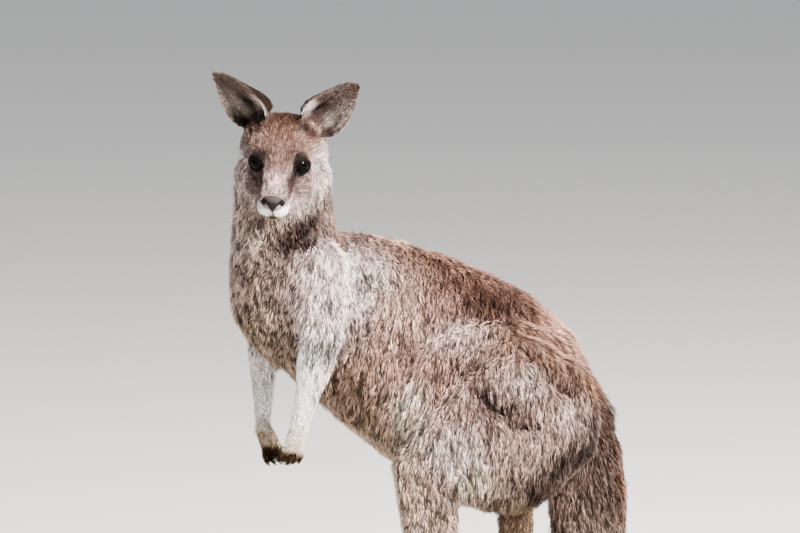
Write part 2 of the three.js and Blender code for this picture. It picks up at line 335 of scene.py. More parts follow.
# ---------------------------------------------------------------- the body's plan
HEAD_TURN = np.array(
    Matrix.Rotation(math.radians(92.0), 3, "Z")
    @ Matrix.Rotation(math.radians(4.5), 3, "Y")
    @ Matrix.Rotation(math.radians(25.5), 3, "X")
)
HEAD_PLACE = np.array([99.53, -452.97, 861.0]) * MM
NOSE_PLACE = (0.0, -104.0, 5.0)  # in the head's own frame, in millimetres
ALL_WIDE = 999  # reach of a mark that crosses the whole body
PER_SQUARE_CM = 1e4  # square centimetres in a square metre
CLEFT = 1.5  # width of the clefts between digits, in millimetres


def in_head(points: Array) -> Array:
    """Points in the head's own frame, in millimetres."""
    return (points - HEAD_PLACE) @ HEAD_TURN / MM


def from_head(points: Array) -> Array:
    """Points given in the head's own frame in millimetres, in the model's."""
    return np.asarray(points) * MM @ HEAD_TURN.T + HEAD_PLACE


def ear_root(side: float) -> Array:
    """The root of an ear in the head's own frame, in millimetres."""
    return np.array([side * 37.0, 42.0, 38.0])


def nose_taper(height: Array) -> Array:
    """The nose pad's width at each height, as a share of its full width: it narrows downwards to a V."""
    return 1.0 - 0.8 * step(height, 0.35, -0.75)


FIELDS = ("depth", "length", "width", "count", "lock", "gather", "soften", "curl", "pale")


@dataclass(frozen=True)
class Pelt:
    """The coat on one part of the body: lengths in millimetres, tufts for each square centimetre."""

    depth: float  # from the tips down to the skin
    length: float  # of a tuft
    width: float  # of a tuft at its widest
    count: float  # tufts for each square centimetre
    lock: float  # spacing of the locks that tufts gather into
    gather: float  # share by which a tuft's tip is drawn to its lock's
    soften: float  # how far the form below is rounded
    curl: float  # how far tufts sway from the lie
    pale: float  # how pale the tips are: the hair's own paler ends, with painted highlight
    top: int  # colour where the part faces up
    side: int  # colour of its sides
    under: int  # colour where it faces down

    def numbers(self) -> list[float]:
        """Its measures, in the order of FIELDS."""
        return [getattr(self, name) for name in FIELDS]


PELTS = {
    "head": Pelt(4.2, 7.5, 0.75, 52, 3.6, 0.25, 4.5, 0.45, 0.4, 0x6A4A3C, 0x997D73, 0xC4B2AA),
    "lower_jaw": Pelt(2.5, 6.0, 0.8, 40, 3.5, 0.25, 3.5, 0.15, 0.3, 0xD9CFC4, 0xD9CFC4, 0xC6B698),
    "nose": Pelt(2.5, 2.5, 0.6, 40, 3.0, 0.2, 2.0, 0.1, 0.1, 0xE9E3DE, 0xE9E3DE, 0xE9E3DE),
    "eye": Pelt(1.0, 3.0, 0.6, 30, 3.0, 0.2, 2.5, 0.1, 0.1, 0x5E4B43, 0x5E4B43, 0x5E4B43),
    "ear": Pelt(0.9, 7.0, 0.75, 40, 3.5, 0.25, 2.0, 0.15, 0.35, 0x705648, 0x705648, 0x705648),
    "neck": Pelt(11.0, 15.0, 1.1, 26, 6.5, 0.5, 16.0, 0.9, 0.40, 0x655247, 0x978179, 0x93826F),
    "chest": Pelt(11.0, 16.0, 1.1, 23, 5.8, 0.48, 17.0, 0.6, 0.42, 0x73544A, 0xAC928A, 0x8C7868),
    "abdomen": Pelt(10.0, 17.0, 1.1, 22, 5.4, 0.5, 24.0, 0.3, 0.45, 0x735347, 0xB28C80, 0xB7A18D),
    "rump": Pelt(10.0, 17.0, 1.1, 22, 5.6, 0.55, 24.0, 0.3, 0.40, 0x735246, 0x9E8074, 0xAD9888),
    "thigh": Pelt(10.0, 16.5, 1.1, 22, 5.6, 0.55, 24.0, 0.32, 0.50, 0x6C4E3C, 0xB0928A, 0xA8968A),
    "shank": Pelt(6.5, 15.0, 1.3, 19, 6.0, 0.35, 9.0, 0.15, 0.35, 0xA89182, 0xB29A8A, 0xD6C8B0),
    "foot": Pelt(3.0, 9.0, 1.1, 20, 4.5, 0.30, 4.5, 0.12, 0.2, 0x97826F, 0x8C7766, 0x5A4A40),
    "toe": Pelt(2.0, 7.0, 1.0, 22, 4.0, 0.30, 2.5, 0.1, 0.15, 0x5E4D43, 0x524238, 0x3A2E28),
    "upper_arm": Pelt(9.0, 17.0, 1.1, 22, 5.5, 0.38, 14.0, 0.28, 0.55, 0xD2BBB6, 0xCFB6B1, 0xB8A59A),
    "forearm": Pelt(5.0, 13.0, 1.15, 26, 5.5, 0.32, 6.0, 0.15, 0.6, 0xF8F4F1, 0xF8F4F1, 0xE9DDD0),
    "hand": Pelt(1.6, 4.5, 0.85, 34, 4.0, 0.30, 1.6, 0.12, 0.3, 0xE6D8C0, 0xE6D8C0, 0xDCC9AE),
    "tail_1": Pelt(9.0, 19.0, 1.2, 19, 6.0, 0.5, 14.0, 0.16, 0.30, 0x5C4334, 0x6A5850, 0xB9A28F),
    "tail_2": Pelt(8.0, 18.0, 1.2, 18, 6.0, 0.38, 11.0, 0.15, 0.30, 0x5C4334, 0x85706A, 0xB5A08C),
    "tail_3": Pelt(7.5, 17.0, 1.35, 18, 6.0, 0.38, 8.0, 0.14, 0.25, 0x755B4F, 0x8C7466, 0xA08B77),
    "tail_4": Pelt(6.5, 16.0, 1.3, 19, 5.5, 0.38, 5.0, 0.12, 0.15, 0x46382F, 0x54443B, 0x66554A),
    "scrotum": Pelt(5.0, 12.0, 1.0, 20, 5.0, 0.30, 8.0, 0.15, 0.5, 0x7E6656, 0x7A6252, 0x66503F),
}
DEPTH, LENGTH, _, COUNT, LOCK, _, SOFTEN, _, PALE = range(len(FIELDS))  # columns of the fields
FLESH = [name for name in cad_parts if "claw" not in name]


def pelt_of(node: str) -> Pelt:
    """The pelt that covers a node."""
    return PELTS[max((name for name in PELTS if node.startswith(name)), key=len)]


def head_zone(points: Array) -> Array:
    """How far points belong to the head and its cheeks, from 0 to 1.

    Args:
        points: places in the model, in metres.

    Returns:
        One share for each point.
    """
    local = in_head(points)
    gap = np.linalg.norm((local - [0.0, -5.0, 8.0]) / [86.0, 116.0, 67.0], axis=1)
    behind = step(local[:, 1], 5.0, 60.0)
    return step(gap, 1.14, 0.92) * (1.0 - behind) + step(gap, 1.3, 0.62) * behind


def downhill(ventral: Pair, tailward: Pair, share: float) -> Array:
    """The lie of the coat on the trunk, from its directions in the side view (y, z)."""
    return unit(np.array([0.0, *ventral]) + share * np.array([0.0, *tailward]))


def lie_of(node: str) -> Array:
    """The direction in which the coat lies on a node, before it is laid on the surface.

    Args:
        node: a CAD node of flesh.

    Returns:
        A direction in the model.
    """
    part, _, side = node.rpartition("_")
    if node.startswith("tail"):
        number = int(node[-1])
        start = centre(f"tail_{max(number - 1, 1)}")
        end = centre(f"tail_{min(number + 1, 4)}")
        return unit(end - start)
    if part in ("forearm", "upper_arm"):
        return unit(centre(f"hand_{side}") - centre(f"upper_arm_{side}"))
    if node.startswith("hand"):
        return unit(centre(node) - centre(f"forearm_{side}"))
    if node.startswith(("foot", "toe")):
        return np.array([0.0, -1.0, -0.1])
    if node.startswith("thigh"):
        return downhill((-0.18, -0.98), (0.9, -0.4), 0.15)
    return {
        "neck": np.array([0.05, 0.0, -1.0]),
        "chest": downhill((-0.42, -0.90), (0.90, -0.42), 0.30),
        "abdomen": downhill((-0.53, -0.85), (0.85, -0.53), 0.30),
        "rump": downhill((0.15, -0.98), (0.70, -0.70), 0.55),
        "shank": np.array([0.0, 0.12, -1.0]),
        "scrotum": np.array([0.0, 0.0, -1.0]),
    }.get(node.removesuffix("_" + side) if side in SIDES else node, np.array([0.0, 0.0, -1.0]))


# ---------------------------------------------------------------- the skin
class Web:
    """The edges of a mesh, which pass values from point to point."""

    def __init__(self, mesh: Mesh) -> None:
        """Reads the edges of the mesh.

        Args:
            mesh: the mesh.
        """
        flat = np.empty(len(mesh.edges) * 2, np.int32)
        mesh.edges.foreach_get("vertices", flat)
        self.start, self.end = flat.reshape(-1, 2).T.copy()
        self.size = len(mesh.vertices)
        self.links = np.maximum(np.bincount(flat, minlength=self.size), 1).astype(float)

    def around(self, values: Array) -> Array:
        """The mean of each point's neighbours, column by column.

        Args:
            values: one row for each point.

        Returns:
            One row of means for each point.
        """
        sums = [
            np.bincount(self.start, column[self.end], self.size)
            + np.bincount(self.end, column[self.start], self.size)
            for column in values.T
        ]
        return np.stack(sums, axis=1) / self.links[:, None]

    def spread(self, values: Array, rounds: int, share: Array | float = 0.6) -> Array:
        """Values evened out over the surface.

        Args:
            values: one row for each point.
            rounds: how many times each point turns towards its neighbours.
            share: how far it turns, one number or a column of them.

        Returns:
            The new rows.
        """
        for _ in range(rounds):
            values = values + share * (self.around(values) - values)
        return values


@dataclass(frozen=True)
class Fold:
    """A crease or a ledge in the skin of the flank or thigh, drawn in the side view, in millimetres."""

    path: tuple[Pair, ...]  # places along it, as (y, z)
    width: float
    depth: float
    ledge: float = 0.0  # how far the form below it stands out
    dark: float = 0.5  # painted shade: how dark the coat is in it
    sides: tuple[float, ...] = (1.0, -1.0)

    def press(self, points: Array, normals: Array) -> tuple[Array, Array]:
        """How far the fold moves each point outwards, in millimetres, and how far points lie in it.

        Args:
            points: the skin's points, in metres.
            normals: their normals.

        Returns:
            The moves, and shares from 0 to 1.
        """
        line, flat = np.array(self.path), points[:, 1:3] / MM
        gap, below = np.full(len(flat), 1e9), np.zeros(len(flat))
        for a, b in zip(line[:-1], line[1:]):
            off = from_line(flat, a, b)
            near = np.linalg.norm(off, axis=1)
            along = (b - a) / np.linalg.norm(b - a)
            below = np.where(near < gap, along[1] * off[:, 0] - along[0] * off[:, 1], below)
            gap = np.minimum(gap, near)
        ends = np.minimum(np.linalg.norm(flat - line[0], axis=1), np.linalg.norm(flat - line[-1], axis=1))
        fade = step(ends, 0.0, 2.2 * self.width)
        fade *= sum(step(normals[:, 0] * side, 0.15, 0.5) for side in self.sides)
        out = -self.depth * bell(gap, self.width)
        rise = step(below, 0.4 * self.width, 2.2 * self.width)
        out += self.ledge * rise * step(below, 62.0, 14.0) * (gap < 70)
        return out * fade, bell(gap, 1.1 * self.width) * fade


NEAR = (1.0,)
FOLDS = (
    Fold(((-277, 560), (-265, 598), (-243, 619), (-193, 640), (-134, 645), (-69, 625), (-25, 589)),
         11.0, 5.0, 9.0, 0.35),
    Fold(((-180, 552), (-150, 520), (-120, 498)), 9.5, 14.0, 4.0, 1.0),
    Fold(((-123, 494), (-100, 488), (-76, 489)), 4.0, 6.0, 3.0, 0.9, NEAR),
    Fold(((-60, 546), (-44, 536), (-30, 524)), 6.0, 6.0, 2.0, 0.9, NEAR),
    Fold(((-206, 466), (-195, 430), (-174, 398)), 3.5, 5.0, 0.0, 0.8, NEAR),
    Fold(((-189, 478), (-178, 432), (-165, 408)), 3.0, 4.0, 0.0, 0.8, NEAR),
    Fold(((-118, 602), (-104, 590), (-86, 571)), 3.5, 5.0, 2.0, 0.9, NEAR),
    Fold(((-158, 588), (-128, 591), (-113, 596)), 2.5, 3.0, 0.0, 0.8, NEAR),
    Fold(((-184, 566), (-163, 571), (-140, 574)), 2.5, 3.0, 0.0, 0.8, NEAR),
    Fold(((-178, 630), (-146, 633), (-115, 626)), 3.0, 3.0, 0.0, 0.7, NEAR),
    Fold(((-222, 600), (-196, 606), (-170, 604)), 2.5, 3.0, 0.0, 0.7, NEAR),
    Fold(((-32, 506), (-18, 492), (-4, 480)), 5.0, 5.0, 2.0, 0.8),
    Fold(((-6, 540), (6, 505), (12, 462)), 6.0, 4.0, 0.0, 0.5),
    Fold(((-80, 394), (-56, 420), (-31, 445), (13, 474)), 14.0, 3.0, 0.0, 0.8),
)


@dataclass(frozen=True)
class Eye:
    """One eye and the opening of its lids, in millimetres."""

    side: float
    middle: Array  # in metres
    radius: float = 14.0
    half_width: float = 11.8
    upper: float = 7.6
    lower: float = 8.2

    def axes(self) -> Array:
        """The eye's axes as rows: towards its outer corner, up, and out of the eye.

        Returns:
            Three rows of length one.
        """
        out = unit(np.array([self.side * 0.42, -0.88, 0.12]) @ HEAD_TURN.T)
        up = unit(np.array([0.0, -0.25, 1.0]) @ HEAD_TURN.T)
        up = unit(up - out * (up @ out))
        return np.array([self.side * np.cross(up, out), up, out])

    def opening(self, points: Array) -> tuple[Array, Array]:
        """How far points lie outside the lids' opening (below zero inside it), and their local places.

        Args:
            points: places in the model, in metres.

        Returns:
            The distances, and the places along the eye's axes, all in millimetres.
        """
        local = (points - self.middle) @ self.axes().T / MM
        across, height = local[:, 0], local[:, 1]
        reach = np.clip(np.abs(across) / self.half_width, 0.0, 1.0)
        half = np.where(height > 0.0, self.upper, self.lower) * (1.0 - reach**2.2)
        beyond = np.abs(across) > self.half_width
        edge = np.where(
            beyond,
            np.hypot(np.abs(across) - self.half_width, height),
            np.abs(height) - half,
        )
        return np.where(local[:, 2] > -2.0, edge, 99.0), local


def eyes() -> list[Eye]:
    """Both eyes, where the CAD model has them."""
    return [Eye(side, centre(f"eye_{name}")) for name, side in SIDES.items()]


@dataclass(frozen=True)
class Hand:
    """One hand, whose five digits are told apart by the claws at their ends."""

    name: str

    @property
    def way(self) -> Array:
        """The direction from the wrist to the digits."""
        return unit(centre(f"hand_{self.name}") - centre(f"forearm_{self.name}"))

    @property
    def claws(self) -> Array:
        """The middles of the claws, from the first digit to the fifth."""
        return np.array([centre(f"hand_claw_{number}_{self.name}") for number in range(1, 6)])

    @property
    def tip(self) -> Array:
        """The middle of the digits' ends."""
        return self.claws.mean(axis=0) - self.way * 10.0 * MM

    def clefts(self, points: Array) -> Array:
        """How far points lie in the clefts between the digits, from 0 to 1.

        Args:
            points: places in the model, in metres.

        Returns:
            One share for each point.
        """
        across = self.claws[4] - self.claws[0]
        across = unit(across - self.way * (across @ self.way))
        flat = np.stack([across, self.way])
        ends, places = (self.claws - self.tip) @ flat.T / MM, (points - self.tip) @ flat.T / MM
        roots = ends * [0.72, 1.0] - [0.0, 27.0]
        inside = np.zeros(len(points))
        for k in range(4):
            a, b = (roots[k] + roots[k + 1]) / 2.0, (ends[k] + ends[k + 1]) / 2.0
            gap = np.linalg.norm(from_line(places, a, b), axis=1)
            inside = np.maximum(inside, bell(gap, CLEFT))
        return inside * (np.linalg.norm(points - self.tip, axis=1) < 45.0 * MM)


def hands() -> list[Hand]:
    """Both hands."""
    return [Hand(name) for name in SIDES]


@dataclass
class Skin:
    """The one skin under the coat, from the toes to the tips of the ears."""

    cell: float = 2.6 * MM
    overlap: float = 0.6 * MM
    rounds: int = 190
    ankle_size: Triple = (23.0 * MM, 29.0 * MM, 26.0 * MM)
    ankle_drop: float = 5.0 * MM
    ankle_reach: Pair = (75.0, 28.0)  # where its shorter coat starts, and where it is full
    ankle_depth: float = 1.5
    ankle_soften: float = 7.0
    head_soften: float = 6.0
    head_from: Pair = (3.9, 8.0)  # depth of coat, and place behind the face, from which that counts
    cleft_depth: float = 2.6
    groove_depth: float = 2.4
    chest_lift: float = 11.0
    shaggy: float = 8.0  # depth from which a pelt gives way to the head's on the cheeks
    bulk: float = 14.0  # softening at which all the bulk that rounding took is given back
    rear_lift: float = 0.7  # how far points that face back count as facing up
    lid: float = 1.0  # thickness of the lids over the eye
    sunk: float = 4.5  # how far the skin lies below the eye's surface inside the opening
    hidden_faces: int = 70_000  # left on the body below its coat
    shade_below: Pair = (0.6, 0.3)  # painted shade below the coat: share of the coat's colours kept, and what white adds
    folds: tuple[Fold, ...] = FOLDS
    mesh: Mesh = field(init=False)
    web: Web = field(init=False)
    points: Array = field(init=False)
    normals: Array = field(init=False)
    owner: Array = field(init=False)  # number of the flesh node below each point
    fields: Array = field(init=False)  # the pelt's numbers at each point
    lift: Array = field(init=False)  # how far each point faces up
    lie: Array = field(init=False)
    groove: Array = field(init=False)  # how far each point lies in the mouth's line
    shade: Array = field(init=False)  # painted shade at each point, from folds and clefts

    def shell(self) -> Piece:
        """All flesh as one closed shell of even small faces, finer on the face.

        Returns:
            The shell, still with the outline of the coat.
        """
        whole = joined(merged_copy(node, self.overlap) for node in FLESH)
        for name in SIDES:
            size = Matrix.Diagonal((*self.ankle_size, 1.0))
            place = Matrix.Translation(self.ankle(name) - [0.0, 0.0, self.ankle_drop]) @ size
            bmesh.ops.create_icosphere(whole, subdivisions=3, radius=1.0, matrix=place)
        skin = add_object("skin", new_mesh("skin", whole))
        remesh = skin.modifiers.new("one_shell", "REMESH")
        remesh.mode = "VOXEL"
        remesh.voxel_size = self.cell
        finished(skin)
        self.refine(skin.data)
        return skin

    @staticmethod
    def ankle(name: str) -> Array:
        """The middle of the joint between a shank and its foot."""
        points = read_points(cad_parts[f"shank_{name}"].data)
        return points[points[:, 2] < points[:, 2].min() + 22.0 * MM].mean(axis=0)

    @staticmethod
    def largest(form: Form) -> None:
        """Keeps the largest connected part of a mesh.

        Args:
            form: the mesh, from which the other parts are deleted.
        """
        left, parts = set(form.verts), []
        while left:
            part, edge = set(), [left.pop()]
            while edge:
                vert = edge.pop()
                part.add(vert)
                for link in vert.link_edges:
                    other = link.other_vert(vert)
                    if other in left:
                        left.remove(other)
                        edge.append(other)
            parts.append(part)
        parts.sort(key=len)
        bmesh.ops.delete(form, geom=[v for part in parts[:-1] for v in part], context="VERTS")

    def refine(self, mesh: Mesh) -> None:
        """Divides the faces round the eyes, the lips and the nose.

        Args:
            mesh: the mesh of the shell.
        """
        spots = [(eye.middle, 23.0, 2) for eye in eyes()] + [(from_head([0.0, -98.0, -8.0]), 30.0, 2)]
        spots += [(hand.tip, 34.0, 1) for hand in hands()]
        form = bmesh.new()
        form.from_mesh(mesh)
        self.largest(form)
        for times, shrink in ((1, 1.0), (2, 0.8)):
            near = set()
            for middle, reach, most in spots:
                middle = Vector(middle)
                limit = reach * shrink * MM * (times <= most)
                near.update(f for f in form.faces if (f.calc_center_median() - middle).length < limit)
            edges = list({edge for face in near for edge in face.edges})
            bmesh.ops.subdivide_edges(form, edges=edges, cuts=1, use_grid_fill=True)
        form.to_mesh(mesh)
        form.free()

    def label(self) -> Array:
        """The number of the nearest flesh node for each point of the skin.

        Returns:
            Places in the list of flesh nodes.
        """
        corners, faces, owner = [], [], []
        for number, node in enumerate(FLESH):
            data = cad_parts[node].data
            start = len(corners)
            corners.extend(v.co.copy() for v in data.vertices)
            faces.extend([start + v for v in polygon.vertices] for polygon in data.polygons)
            owner.extend([number] * len(data.polygons))
        tree = BVHTree.FromPolygons(corners, faces)
        return np.array([owner[tree.find_nearest(Vector(p))[2]] for p in self.points])

    def build(self) -> Piece:
        """Makes the skin: shell, rounding, depth of the coat, then the folds, lids and lips.

        Returns:
            The skin, which carries no colours yet.
        """
        skin = self.shell()
        mesh = skin.data
        self.web = Web(mesh)
        self.points = read_points(mesh)
        self.owner = self.label()
        log.info("skin shell: %d points", len(self.points))
        fields = self.measures()
        self.round_off(fields)
        self.settle(mesh)
        self.fields = self.web.spread(fields, 24)
        self.lift = self.normals[:, 2] + self.rear_lift * np.clip(self.normals[:, 1], 0.0, 1.0)
        self.points = self.points - self.normals * self.fields[:, DEPTH, None] * MM
        self.press_folds()
        self.settle(mesh)
        self.shape_face()
        self.settle(mesh)
        self.lie = self.flow()
        return skin

    def settle(self, mesh: Mesh) -> None:
        """Moves the mesh to the skin's points, and reads its normals afresh."""
        write_points(mesh, self.points)
        self.normals = read_normals(mesh)

    def measures(self) -> Array:
        """The pelt's numbers at each point: the head's own on the cheeks, and shorter hair at the ankles.

        Returns:
            One row for each point, in the order of FIELDS.
        """
        numbers = np.array([pelt_of(node).numbers() for node in FLESH])
        deep = numbers[self.owner, DEPTH] > self.shaggy
        rows = mix(numbers[self.owner], np.array(PELTS["head"].numbers()), head_zone(self.points) * deep)
        for name in SIDES:
            near = step(np.linalg.norm(self.points - self.ankle(name), axis=1) / MM, *self.ankle_reach)
            for column, value in ((DEPTH, self.ankle_depth), (SOFTEN, self.ankle_soften)):
                rows[:, column] = rows[:, column] * (1.0 - near) + value * near
        return rows

    def round_off(self, fields: Array) -> None:
        """Rounds the form below the coat, and gives back the bulk that this takes.

        Args:
            fields: the pelt's numbers at each point.
        """
        depth, behind = self.head_from
        behind_face = (fields[:, DEPTH] > depth) * (in_head(self.points)[:, 1] > behind)
        soften = fields[:, SOFTEN] + self.head_soften * head_zone(self.points) * behind_face
        soften = self.web.spread(soften[:, None], 14)
        share = np.clip(2.0 * (soften * MM / self.cell) ** 2 / self.rounds, 0.0, 0.8)
        rounded = self.web.spread(self.points, self.rounds, share)
        lost = self.web.spread(self.points - rounded, 40, 0.6)
        self.points = rounded + lost * np.clip(soften / self.bulk, 0.0, 1.0)

    def press_folds(self) -> None:
        """Presses in the digits' clefts and the folds of flank and thigh, notes the painted shade that each
        point gets in them, and lifts the chest's keel.
        """
        moved, self.shade = np.zeros(len(self.points)), np.zeros(len(self.points))
        for hand in hands():
            inside = hand.clefts(self.points)
            moved -= self.cleft_depth * inside
            # painted shade in the clefts between the digits
            self.shade = np.maximum(self.shade, 0.8 * inside)
        below_chest = np.linalg.norm((self.points / MM - [70.0, -452.0, 556.0]) / [60.0, 34.0, 26.0], axis=1)
        self.points[:, 2] += self.chest_lift * MM * step(below_chest, 1.5, 0.3)
        for fold in self.folds:
            out, inside = fold.press(self.points, self.normals)
            moved += out
            self.shade = np.maximum(self.shade, inside * fold.dark)
        self.points = self.points + self.normals * (moved * MM)[:, None]

    def shape_face(self) -> None:
        """Opens the lids over the eyes, and draws the mouth and the groove below the nose."""
        for eye in eyes():
            edge, local = eye.opening(self.points)
            away = np.linalg.norm(local, axis=1)
            aside = np.hypot(local[:, 0], local[:, 1])
            rim, brow, crease = bell(edge - 1.4, 1.3), bell(edge - 7.0, 2.6), bell(edge - 4.3, 1.3)
            lid = eye.radius + self.lid + 1.1 * rim + 0.9 * brow - 0.9 * crease
            target = np.where(edge < 0.0, eye.radius - self.sunk, lid)
            hold = step(aside, 21.0, 13.0) * (local[:, 2] > -2.0)
            ratio = 1.0 + hold * (target / np.maximum(away, 1.0) - 1.0)
            self.points = np.where(
                hold[:, None] > 0.0, eye.middle + (self.points - eye.middle) * ratio[:, None], self.points
            )
        local = in_head(self.points)
        groove = np.zeros(len(local))
        for side in SIDES.values():
            mouth = [(0, -109, -17.5), (8, -107, -18), (16, -97, -19.5), (20, -82, -21), (23, -62, -22)]
            groove = np.maximum(groove, self.near_line(local, [(x * side, y, z) for x, y, z in mouth], 1.5))
        groove = np.maximum(groove, self.near_line(local, [(0, -114, -6), (0, -112, -17)], 1.2))
        self.groove = groove
        self.points -= self.normals * (groove * self.groove_depth * MM)[:, None]

    @staticmethod
    def near_line(local: Array, line: list[Triple], width: float) -> Array:
        """How close points are to a line, as a bell of that width.

        Args:
            local: places in the head's own frame, in millimetres.
            line: the corners of the line.
            width: how wide the bell is.

        Returns:
            One share for each place.
        """
        gap = np.full(len(local), 1e9)
        for a, b in zip(np.array(line[:-1], float), np.array(line[1:], float)):
            gap = np.minimum(gap, np.linalg.norm(from_line(local, a, b), axis=1))
        return bell(gap, width)

    def flow(self) -> Array:
        """The lie of the coat at each point, along the surface.

        Returns:
            One direction for each point.
        """
        lies = np.array([lie_of(node) for node in FLESH])[self.owner]
        local = in_head(self.points)
        names = np.array(FLESH)[self.owner]
        face = np.isin(names, ["head", "lower_jaw", "nose", "eye_left", "eye_right"])
        back = unit(local - np.array([0.0, -125.0, -4.0]))
        back[:, 2] -= 0.25 * step(local[:, 1], -10.0, 60.0)
        lies[face] = (back @ HEAD_TURN.T)[face]
        for name, side in SIDES.items():
            ear = names == f"ear_{name}"
            lies[ear] = unit(self.points[ear] - from_head(ear_root(side)) + 1e-9)
        lies = self.web.spread(unit(flattened(lies, self.normals)), 30)
        return unit(flattened(lies, self.normals))

    def thin(self, skin: Piece, colours: Array) -> Array:
        """Makes the body's faces larger where the coat hides them, and unwraps the skin.

        Args:
            skin: the finished skin.
            colours: one colour for each of its points.

        Returns:
            The colours of the points that are left.
        """
        names = np.array(FLESH)[self.owner]
        fine = np.char.startswith(names, "h") | np.char.startswith(names, "e") | (names == "lower_jaw")
        fine = self.web.spread(fine.astype(float)[:, None], 12)[:, 0]
        group = skin.vertex_groups.new(name="plain_body")
        for number in np.flatnonzero(fine < 0.5):
            group.add([int(number)], 1.0, "REPLACE")
        before = len(skin.data.polygons) * 2
        kept = float((fine >= 0.5).mean()) * before
        reduce = skin.modifiers.new("thin", "DECIMATE")
        reduce.vertex_group = "plain_body"
        reduce.ratio = min(1.0, (kept + self.hidden_faces) / before)
        finished(skin)
        self.mesh = mesh = skin.data
        points = read_points(mesh)
        twin = nearest(self.points, points)
        self.points, self.normals = points, read_normals(mesh)
        self.fields, self.owner = self.fields[twin], self.owner[twin]
        self.lie, self.groove, self.shade = self.lie[twin], self.groove[twin], self.shade[twin]
        self.lift = self.lift[twin]
        bpy.context.view_layer.objects.active = skin
        skin.select_set(True)
        bpy.ops.object.mode_set(mode="EDIT")
        bpy.ops.mesh.select_all(action="SELECT")
        bpy.ops.uv.smart_project(angle_limit=math.radians(66.0), island_margin=0.002)
        bpy.ops.object.mode_set(mode="OBJECT")
        skin.select_set(False)
        mesh.uv_layers[0].name = "OFBake"
        log.info("skin thinned: %d faces kept of %d", len(mesh.polygons), before)
        return colours[twin]

    def dress(self, body: Piece, colours: Array) -> Piece:
        """Gives the skin its finish, with the coat's colours darkened as painted shade deep under the coat
        that hides it.

        Args:
            body: the thinned skin.
            colours: one colour for each of its points.

        Returns:
            The dressed skin.
        """
        share, more = self.shade_below
        white = step(colours.mean(axis=1), 0.45, 0.8)[:, None]
        paint(body.data, "surface_colours", colours * (share + more * white))
        body.data.materials.append(Furred("skin_below", bump=0.4, roughness=0.8).make())
        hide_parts(*[n for n in FLESH if not n.startswith(("eye", "nose"))])
        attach(body, "root")
        return body


# ---------------------------------------------------------------- colours
@dataclass(frozen=True)
class Mark:
    """A soft patch of colour in millimetres, on both sides of the head, or of the body where z is high."""

    place: Triple
    reach: Triple
    colour: int
    share: float = 0.8
    sides: tuple[float, ...] = (1.0, -1.0)
    full: float = 0.5  # shares of the reach to which it is full, and beyond which it is gone
    gone: float = 1.3

    def lay(self, colours: Array, local: Array, rough: Array) -> Array:
        """The colours with this patch laid over them.

        Args:
            colours: one colour for each point.
            local: places of the points, in millimetres.
            rough: noise that makes the patch's edge uneven.

        Returns:
            The new colours.
        """
        for side in self.sides:
            middle = np.array(self.place) * [side, 1.0, 1.0]
            gap = np.sqrt(np.sum(((local - middle) / self.reach) ** 2, axis=1)) + 0.12 * rough
            colours = tint(colours, self.colour, self.share * step(gap, self.gone, self.full))
            if not self.place[0]:
                break
        return colours


FACE_MARKS = (
    Mark((0, 52, 62), (60, 46, 34), 0x120A07, 1.0),  # crown
    Mark((0, -2, 44), (52, 46, 30), 0x6C4E42, 0.9),  # forehead
    Mark((46, 18, 34), (24, 36, 22), 0x8A6C60, 0.75),  # temple
    Mark((43, 39, 43), (22, 14, 13), 0x24150F, 0.85),  # round the root of the ear
    Mark((0, -42, 34), (22, 26, 17), 0x80645A, 0.85),  # between the eyes
    Mark((36, -30, -6), (20, 38, 28), 0x6E5955, 0.75),  # below the eye
    Mark((23.5, -62, 8), (13.5, 42, 19), 0x40302E, 0.95),  # dark stripe from nose to eye
    Mark((25, -50, 10), (11, 32, 16), 0x241918, 0.85, (1.0,)),
    Mark((0, -76, 26), (12, 24, 12), 0xD9B2AE, 1.0),  # bridge of the muzzle
    Mark((30, -16, 31), (20, 17, 8), 0x1E1512, 0.7),  # dark brow
    Mark((60, 16, -12), (20, 44, 40), 0xDCC6C2, 0.75),  # cheek
    Mark((13, -99, -8), (14, 19, 9), 0xFFFFFF, 1.0),  # white of the upper lip
    Mark((22, -74, -14), (8, 18, 6), 0xE6DAD5, 0.7),  # lip line back to the corner
    Mark((0, -99, -22), (9.5, 13, 5.5), 0x080505, 1.0),  # shadow of the mouth
    Mark((0, -86, -31), (17, 26, 9), 0x7A6A4E, 0.95),  # chin
    Mark((0, -40, -44), (26, 34, 14), 0x66584A, 0.75),  # throat
)
